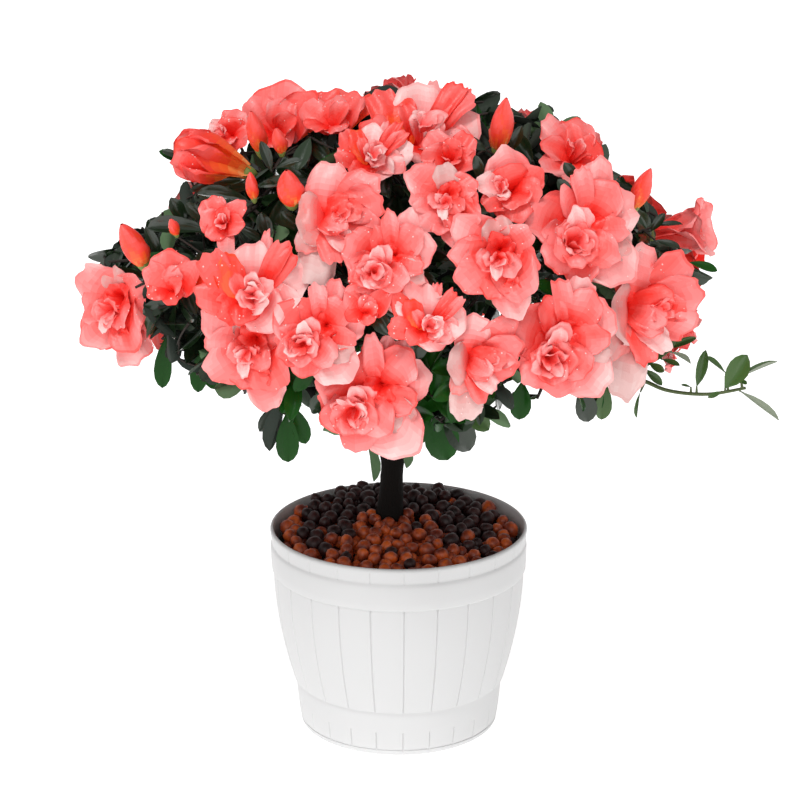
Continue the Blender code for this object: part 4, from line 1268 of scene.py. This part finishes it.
def drop_form():
    """A drop of water, domed above and flatter below, unit sized along +Z."""
    rings, sides = 4, 8
    points = []
    for ring in range(rings + 2):
        lean = math.pi * ring / (rings + 1)
        height = -0.5 * math.cos(lean)
        height *= 0.7 if height > 0 else 0.25
        spread = 0.5 * math.sin(lean)
        turns = range(sides) if 0 < ring <= rings else (0,)
        points += [(*round_at(math.tau * k / sides, spread), height) for k in turns]
    faces = [(1 + b, 1 + c, 1 + d, 1 + a) for a, b, c, d in ring_faces(rings, sides)]
    top = len(points) - 1
    for k in range(sides):
        n = (k + 1) % sides
        faces += [(0, 1 + n, 1 + k), (top, top - sides + k, top - sides + n)]
    return new_mesh("drop", points, (), faces)


# Leaves


def leaf_form(k, fold, arch, twist, wave):
    """A blade along +Y with its upper side to +Z: two sheets that share their outline."""
    steps = (0.0, 0.10, 0.28, 0.48, 0.66, 0.82, 0.94, 1.0)
    halves = (0.03, 0.14, 0.34, 0.47, 0.50, 0.42, 0.24, 0.02)
    lanes = (-1.0, -0.5, 0.0, 0.5, 1.0)
    points = []
    for under in (False, True):
        for step, half in zip(steps, halves):
            for lane in lanes:
                x = half * lane
                z = fold * abs(lane) * half - arch * step**2 + wave * math.sin(step * 9) * abs(lane)
                z -= 0.035 * under * (1 - lane**2) * math.sin(math.pi * step)
                z += 0.02 * (abs(lane) == 0.5)
                turn = twist * step
                points.append((x * math.cos(turn), step, z + x * math.sin(turn)))
    rows, cols = len(steps), len(lanes)
    upper = [(a, d, c, b) for a, b, c, d in grid_faces(rows, cols)]
    lower = grid_faces(rows, cols, rows * cols)
    mesh = new_mesh(f"leaf_{k}", points, (), upper + lower)
    set_attribute(mesh, "second", "BOOLEAN", [False] * len(upper) + [True] * len(lower), "FACE")
    return mesh


def leaf_row(root, way, face, length, rng, width=LEAF_WIDTH, form=None):
    """A leaf's place, turn, size and form, for the tree that sets forms on points."""
    y = way.normalized()
    x = y.cross(face).normalized()
    z = x.cross(y)
    turn = Matrix((x, y, z)).transposed().to_euler()
    number = rng.randrange(4) if form is None else form
    return tuple(root), tuple(turn), (length * width, length, length), number


# Spaces


def room(points, own, others):
    """How far inside its own space each point lies."""
    here = np.linalg.norm(points[:, None] - own[None], axis=2)
    nearest = own[np.argmin(here, axis=1)]
    near = np.min(here, axis=1) ** 2
    far = np.linalg.norm(points[:, None] - others[None], axis=2) ** 2
    apart = np.linalg.norm(nearest[:, None] - others[None], axis=2)
    return np.min((far - near[:, None]) / (2 * apart), axis=1)


def past_dome(points):
    """How far out each point lies in the crown, whose skin is at 1."""
    off = points - np.array(CROWN_MIDDLE)
    off[:, 2] += BACK_SLOPE * np.maximum(off[:, 1], 0)
    shares = off / np.array(CROWN_REACH)
    level = np.hypot(shares[:, 0], shares[:, 1])
    high = np.maximum(shares[:, 2], 0)
    turned = np.clip(-points[:, 0] / SHOULDER_TURN, 0, 1)
    shoulder = SHOULDER + (LEFT_SHOULDER - SHOULDER) * turned
    reach = np.maximum(np.hypot(level, high), level + shoulder * high) / CROWN_SKIN
    floor = UNDER_HEIGHT + UNDER_SLOPE * np.hypot(points[:, 0], points[:, 1])
    floor += LEFT_SLOPE * np.maximum(LEFT_START - points[:, 0], 0)
    return np.where(points[:, 2] < floor, 2.0, reach)


def in_gap(points):
    """Whether any point would hide the sky under the crown's right side."""
    back = points[:, 1] - GAP_DEPTH
    across = points[:, 0] / (1 + SIGHT_SPREAD * back)
    high = points[:, 2] + SIGHT_FALL * back
    return ((across > GAP_SIDES[0]) & (across < GAP_SIDES[1]) & (high < GAP_TOP)).any()


def in_bloom(points, blooms):
    """Whether each point lies in or before a bloom."""
    hit = np.zeros(len(points), dtype=bool)
    for place, look, width, form in blooms:
        off = points - np.array(place)
        high = off @ np.array(look)
        out = np.linalg.norm(off - high[:, None] * np.array(look), axis=1)
        if form in SLIM:
            hit |= (out < SLIM_OUT * width) & (abs(high) < SLIM_OVER * width)
        else:
            over = (high > -BLOOM_UNDER * width - out * BLOOM_CONE) & (high < BLOOM_OVER * width)
            hit |= (out < BLOOM_OUT * width) & over
    return hit


# Growing


class Growth:
    """One mass: its shoots, and its leaves by spray, by the rule of the part's source."""

    def __init__(self, name, line):
        path, radii = line
        heading = along(path, 1.0)[1]
        start = path[-1]
        hub = start + heading * (middle(name) - TRUNK_HEAD).length * HUB_SHARE
        self.name = name
        self.rng = random.Random("mass " + name)
        self.shoots = [(start, hub)]
        stem = [start - heading * STEM_OVERLAP * MM, start, hub]
        self.lines = [(stem, [radii[-1], radii[-1], STEM_END])]
        self.own = np.array(sites(name))
        self.others = np.array(
            [site for other in MASSES if other != name for site in sites(other)]
        )
        self.sprays = []

    def joint(self, end):
        best = None
        for start, stop in self.shoots:
            for share in JOINT_SHARES:
                point = start.lerp(stop, share)
                way = end - point
                if way.length < SHORTEST_SHOOT or way.angle(stop - start) > SHARPEST_TURN:
                    continue
                if best is None or way.length < (end - best).length:
                    best = point
        return best or self.shoots[0][1]

    def add_line(self, root, end, radii):
        """A shoot with a slight crook."""
        way = end - root
        crook = random_vector(self.rng) * way.length * SHOOT_CROOK
        third = root.lerp(end, 0.4) + crook - UP * way.length * SHOOT_SAG
        mid = (radii[0] + radii[1]) / 2
        self.lines.append(([root, third, end], [radii[0], mid, radii[1]]))

    def spray(self, root, aim, count, leans):
        """Leaves round the end of a shoot, upper sides outward."""
        side = aim.orthogonal().normalized()
        first = self.rng.uniform(0, math.tau)
        leaves = []
        for k in range(count):
            angle = first + GOLDEN * k + self.rng.uniform(-0.25, 0.25)
            lean = math.radians(self.rng.uniform(*leans))
            out = Matrix.Rotation(angle, 3, aim) @ side
            way = aim * math.cos(lean) + out * math.sin(lean)
            back = aim * self.rng.uniform(0, SPRAY_REACH) * MM
            leaves.append((root - back, way, aim, self.rng.uniform(*LEAF_LENGTH)))
        self.sprays.append(leaves)

    def add_stalk(self, place, look, width, behind):
        back = place - look * width * behind
        root = self.joint(back)
        self.shoots.append((root, back))
        self.add_line(root, back, SHOOT_RADII)
        way = back - root
        under = back - way.normalized() * min(width * 0.2, way.length * 0.5)
        self.spray(under, way.normalized(), LEAVES_UNDER_BLOOM, UNDER_LEANS)

    def add_shoot(self, end, blooms, fine):
        root = self.joint(end)
        probe = np.array([root.lerp(end, s) for s in (0.3, 0.6, 0.8, 1.0)])
        if np.min(room(probe, self.own, self.others)) < 0 or in_bloom(probe[1:], blooms).any():
            return
        self.add_line(root, end, FINE_RADII if fine else SHOOT_RADII)
        self.shoots.append((root, end))
        way = (end - root).normalized()
        self.spray(end, way, LEAVES_ON_SHOOT, SHOOT_LEANS)

    def leaf_rows(self, blooms, tone_rows):
        """Deals the leaves that fit out by tone, a spray at a time."""
        weights = TONE_WEIGHTS.get(self.name, PLAIN_WEIGHTS)
        for leaves in self.sprays:
            tone = self.rng.choices(list(LEAF_TONES), weights)[0]
            for root, way, aim, length in leaves:
                y = way.normalized()
                side = y.cross(aim).normalized() * length * LEAF_WIDTH * 0.45
                probe = [root + y * length * s for s in (0.25, 0.5, 0.75, 1.0)]
                probe += [root + y * length * 0.6 + side, root + y * length * 0.6 - side]
                probe = np.array(probe)
                if past_dome(probe).max() > 1 or in_bloom(probe, blooms).any():
                    continue
                if np.min(room(probe, self.own, self.others)) < -LEAF_OVERLAP:
                    continue
                row = leaf_row(root, way, aim, length, self.rng)
                if not in_gap(probe):
                    tone_rows[tone].append(row)


def shoot_places(blooms):
    """Places in layers through the crown that no bloom covers."""
    found = []
    every = np.array([place for place, *_ in blooms])
    for reach, count, clear in SHOOT_LAYERS:
        for k in range(count):
            rise = math.degrees(math.asin(1 - 2 * (k + 0.5) / count))
            point = on_dome(math.degrees(k * GOLDEN) + reach * 400, rise, reach)
            out = past_dome(np.array([point]))[0]
            if rise < SHOOT_LOWEST or out == 2:
                continue
            point = CROWN_MIDDLE.lerp(point, min(reach / out, 1))
            if np.min(np.linalg.norm(every - np.array(point), axis=1)) < clear * MM:
                continue
            found.append(point)
    return found


def bloom_look(bloom):
    """Where a bloom looks: as the source says, or turned to the front where it has a form."""
    turn, rise = bloom[:2]
    if len(bloom) > 4:
        return Vector(bloom[4]).normalized()
    look = facing(turn, rise)
    if len(bloom) > 3:
        look = (look + FRONT * SHAPED_TO_FRONT).normalized()
    return look


def named_leaves(table, tone_rows, tone, rng):
    """Leaves with a place of their own."""
    for row in table:
        root, tip = Vector(row[:3]) * MM, Vector(row[3:6]) * MM
        width, front = row[6] / 100, row[7] / 100
        way = tip - root
        face = (FRONT * front + UP * (1 - front)).normalized()
        tone_rows[tone].append(leaf_row(root, way, face, way.length, rng, width, rng.randrange(2)))


def upright(look):
    """The turn that stands a form's +Z along a way."""
    return tuple(look.to_track_quat("Z", "Y").to_euler())


def crown_plan():
    """Where each bloom and bud sits and looks, and how large it is."""
    blooms, buds = [], []
    for name, mass in MASSES.items():
        for bloom in mass.blooms:
            form = bloom[3] if len(bloom) > 3 else "double"
            blooms.append((on_dome(*bloom[:2]), bloom_look(bloom), bloom[2] * MM, form))
        for turn, rise, wide, tall in mass.buds:
            look = (facing(turn, rise) * 0.8 + UP).normalized()
            buds.append((name, on_dome(turn, rise, BUD_REACH), look, wide * MM, tall * MM))
    return blooms, buds


def open_blossom(blooms, buds):
    """The blossom, gathered in three, and the rows of its calyxes and its drops."""
    posies = {"blossom_left": Posy(), "blossom_right": Posy(), "blossom_back": Posy()}
    drops, calyxes = [], []
    for place, look, width, form in blooms:
        rng = random.Random(f"bloom {place.x:.4f} {place.z:.4f}")
        fine = form != "double"
        side = "blossom_back" if not fine else "blossom_left" if place.x < 0 else "blossom_right"
        add_bloom(posies[side], place, look, width, form, rng, fine, drops)
        behind = SLIM_CALYX_BEHIND if form in SLIM else CALYX_BEHIND
        calyxes.append((place - look * width * behind, upright(look), (CALYX_SIZE,) * 3, 0))
    for _, place, look, wide, tall in buds:
        rng = random.Random(f"bud {place.x:.4f}")
        side = "blossom_left" if place.x < 0 else "blossom_right"
        add_bud(posies[side], place, look, wide, tall, rng)
        size = (wide * 0.62, wide * 0.62, tall * 0.34)
        calyxes.append((place - look * tall * 0.30, upright(look), size, 0))
    return posies, calyxes, [(at, upright(normal), (wide,) * 3, 0) for at, normal, wide in drops]


def grow_long_shoot(growth):
    """The long shoot's stem, its side twig and a stalk to each of its leaves."""
    start, hub = growth.shoots[0]
    stem = [start.lerp(hub, 0.9), *[on_dome(*place) for place in SIDE_SHOOT]]
    twig = [Vector(place) * MM for place in SHOOT_TWIG]
    growth.lines.append((stem, [1.7 * MM, 1.6 * MM, 1.4 * MM, 1.3 * MM, 1.1 * MM]))
    growth.lines.append((twig, [1.4 * MM, 1.2 * MM, 1.0 * MM, 0.8 * MM]))
    growth.lines += stalks(LONG_SHOOT_LEAVES, (stem, twig))
    return growth.lines


def stalks(leaves, carriers):
    """A stalk to each leaf from the nearest of the lines that can carry it."""
    roots = [Vector(leaf[:3]) * MM for leaf in leaves]
    return [([nearest_on(carriers, root), root], list(FINE_RADII)) for root in roots]


def grow_mass(growth, mass, blooms, buds, places):
    """A mass's stalks and shoots, as far as it has room for them."""
    for bloom in mass.blooms:
        behind = SLIM_STALK_BEHIND if SLIM & set(bloom[3:4]) else STALK_BEHIND
        growth.add_stalk(on_dome(*bloom[:2]), bloom_look(bloom), bloom[2] * MM, behind)
    for owner, place, look, _, tall in buds:
        if owner == growth.name:
            foot = place - look * tall * 0.4
            growth.add_line(growth.joint(foot), foot, FINE_RADII)
    ends = [on_dome(*place) for place in mass.places]
    inside = room(np.array(places), growth.own, growth.others)
    ends += [point for point, clear in zip(places, inside) if clear > SHOOT_ROOM]
    for k, end in enumerate(ends):
        growth.add_shoot(end, blooms, k >= THICK_SHOOTS)
    return growth.lines


def grow_crown(blooms, buds, lines):
    """The lines of the twigs and of the long shoot, and the rows of the leaves by tone."""
    places = shoot_places(blooms)
    tone_rows = {tone: [] for tone in LEAF_TONES}
    twig_lines, shoot_lines = [], []
    for name, mass in MASSES.items():
        growth = Growth(name, lines[name])
        if name == "right_shoot":
            shoot_lines = grow_long_shoot(growth)
        else:
            twig_lines += grow_mass(growth, mass, blooms, buds, places)
            growth.leaf_rows(blooms, tone_rows)
    rng = random.Random("named leaves")
    named_leaves(LONG_SHOOT_LEAVES, tone_rows, "olive_green", rng)
    named_leaves(HANGING_LEAVES, tone_rows, "mid_green", rng)
    named_leaves(PALE_LEAVES, tone_rows, "olive_green", rng)
    named_leaves(DARK_LEAVES, tone_rows, "black_green", rng)
    carriers = [path for path, _ in (*lines.values(), *twig_lines)]
    twig_lines += stalks((*HANGING_LEAVES, *PALE_LEAVES, *DARK_LEAVES), carriers)
    return twig_lines, shoot_lines, tone_rows


def main():
    bark = finish(
        "azalea_bark_fissured", "#120E0C", 0.88, (1.6, 0.5, (1, 1, 0.3)), Specular_IOR_Level=0.2
    )
    green_twig = finish("young_azalea_shoot", "#4C5A30", 0.6, (1.2, 0.1))
    brown_twig = finish("azalea_twig_brown", "#2B211B", 0.8, (1.2, 0.2, (1, 1, 0.4)))
    calyx_green = finish("calyx_hairy_green", "#7C8E45", 0.6, (0.8, 0.1))
    white = finish("polypropylene_moulded_satin", "#D2D2D2", 0.40, (0.9, 0.05))
    orange_clay = finish("expanded_clay_fired_orange", "#8A3D22", 0.34, (1.3, 0.35))
    give_colours(orange_clay, 9, ((0.34, "#6E2A1A"), (0.5, "#AA4824"), (0.64, "#DE6628")))
    dark_clay = finish("expanded_clay_fired_dark", "#2C1A1A", 0.42, (1.3, 0.35), Specular_IOR_Level=0.4)
    give_colours(dark_clay, 7, ((0.35, "#1E0E0F"), (0.65, "#42211F")))
    # near black, where the bed shows in the gaps between the pebbles
    dark_bed_finish = finish("damp_crushed_clay", "#1A0F0C", 0.9, (2, 0.5))
    # Painted highlight: the clear drops are drawn as opaque whitish pink dots, for the glint of the
    # light on them.
    water = finish("water_drop_bright", "#FFC9C5", 0.08, Coat_Weight=1.0, Coat_Roughness=0.02)
    petal_mats, spans = petal_finishes()
    RAMP_SPANS.update(spans)

    pot = make_pot(white)
    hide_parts("pot")

    forms = form_tree()
    pebbles = make_with(
        forms, "clay_pebbles", point_mesh("pebble_points", pebble_rows()),
        Forms=form_collection("pebble_forms", pebble_forms()), Finish=orange_clay,
        Second_Finish=dark_clay,
    )
    bed = make_bed(dark_bed_finish)
    for piece in (pebbles, bed):
        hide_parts("pebble_fill")

    lines = {"trunk": trunk_line()}
    for name in MASSES:
        lines[name] = bough_line(name, lines)
    tubes = limb_tree()
    limbs = make_with(
        tubes, "trunk_and_boughs", line_mesh("limb_lines", lines.values()), Sides=22,
        Step=1.6 * MM, Relief=2.6 * MM, Grain=4.5 * MM, Finish=bark,
    )
    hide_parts(*LIMBS)

    blooms, buds = crown_plan()
    posies, calyxes, drops = open_blossom(blooms, buds)
    twig_lines, shoot_lines, tone_rows = grow_crown(blooms, buds, lines)
    crown = [
        make_with(
            tubes, name, line_mesh(name + "_lines", rows), Sides=sides, Step=step * MM,
            Relief=0.2 * MM, Grain=3 * MM, Finish=mat,
        )
        for name, rows, sides, step, mat in (
            ("twigs", twig_lines, 6, 6, brown_twig), ("long_shoot", shoot_lines, 8, 3, green_twig),
        )
    ]
    leaf_forms = form_collection("leaf_forms", [leaf_form(k, *s) for k, s in enumerate(LEAF_SHAPES)])
    for tone, rows in tone_rows.items():
        top, under = leaf_finish("azalea_leaf_waxed_" + tone, *LEAF_TONES[tone])
        crown.append(make_with(
            forms, "leaves_" + tone, point_mesh(tone, rows), Forms=leaf_forms, Finish=top,
            Second_Finish=under,
        ))
    crown += [posy.made(name, petal_mats) for name, posy in posies.items()]
    for name, rows, form, mat in (
        ("calyxes", calyxes, calyx_form, calyx_green), ("water_drops", drops, drop_form, water),
    ):
        collection = form_collection(name + "_forms", [form()])
        points = point_mesh(name + "_points", rows)
        crown.append(make_with(forms, name, points, Forms=collection, Finish=mat))
    for piece in crown:
        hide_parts(*FOLIAGE)
    for piece in (pot, pebbles, bed, limbs, *crown):
        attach(piece, "root")
    for collection in list(bpy.data.collections):
        if collection.name.endswith("_forms"):
            for obj in list(collection.objects):
                bpy.data.objects.remove(obj)
            bpy.data.collections.remove(collection)


def set_stage():
    """A white light table, soft light from above and the front, and the photo's camera."""
    table = finish(
        "studio_table_lit_white", "#EDEDED", 0.9, Emission_Color=linear("#FFFFFF"),
        Emission_Strength=TABLE_GLOW,
    )
    corners = [(x * TABLE_HALF, y * TABLE_HALF, 0) for x, y in ((-1, -1), (1, -1), (1, 1), (-1, 1))]
    floor = mesh_object("studio_floor", corners, [(0, 1, 2, 3)], (table,))
    scene = bpy.context.scene
    world = bpy.data.worlds.new("studio_light")
    world.use_nodes = True
    sky = world.node_tree.nodes["Background"]
    sky.inputs["Color"].default_value = (1.0, 1.0, 1.0, 1.0)
    sky.inputs["Strength"].default_value = SKY
    scene.world = world
    for name, way, strength, spread in SUNS:
        lamp = bpy.data.lights.new(name, "SUN")
        lamp.energy = strength * math.pi
        lamp.angle = math.radians(spread)
        link_object(name, lamp).rotation_euler = (-Vector(way)).to_track_quat("-Z", "Y").to_euler()
    camera = bpy.data.cameras.new("camera")
    camera.lens = CAMERA_LENS
    camera.sensor_width = 36
    obj = link_object("camera", camera)
    forward = Vector((0, math.cos(CAMERA_DOWN), -math.sin(CAMERA_DOWN)))
    obj.location = CAMERA_AIM - forward * CAMERA_AWAY
    obj.rotation_euler = (math.radians(90) - CAMERA_DOWN, 0, 0)
    scene.camera = obj
    scene.view_settings.view_transform = "Standard"


main()
set_stage()
bpy.context.view_layer.update()
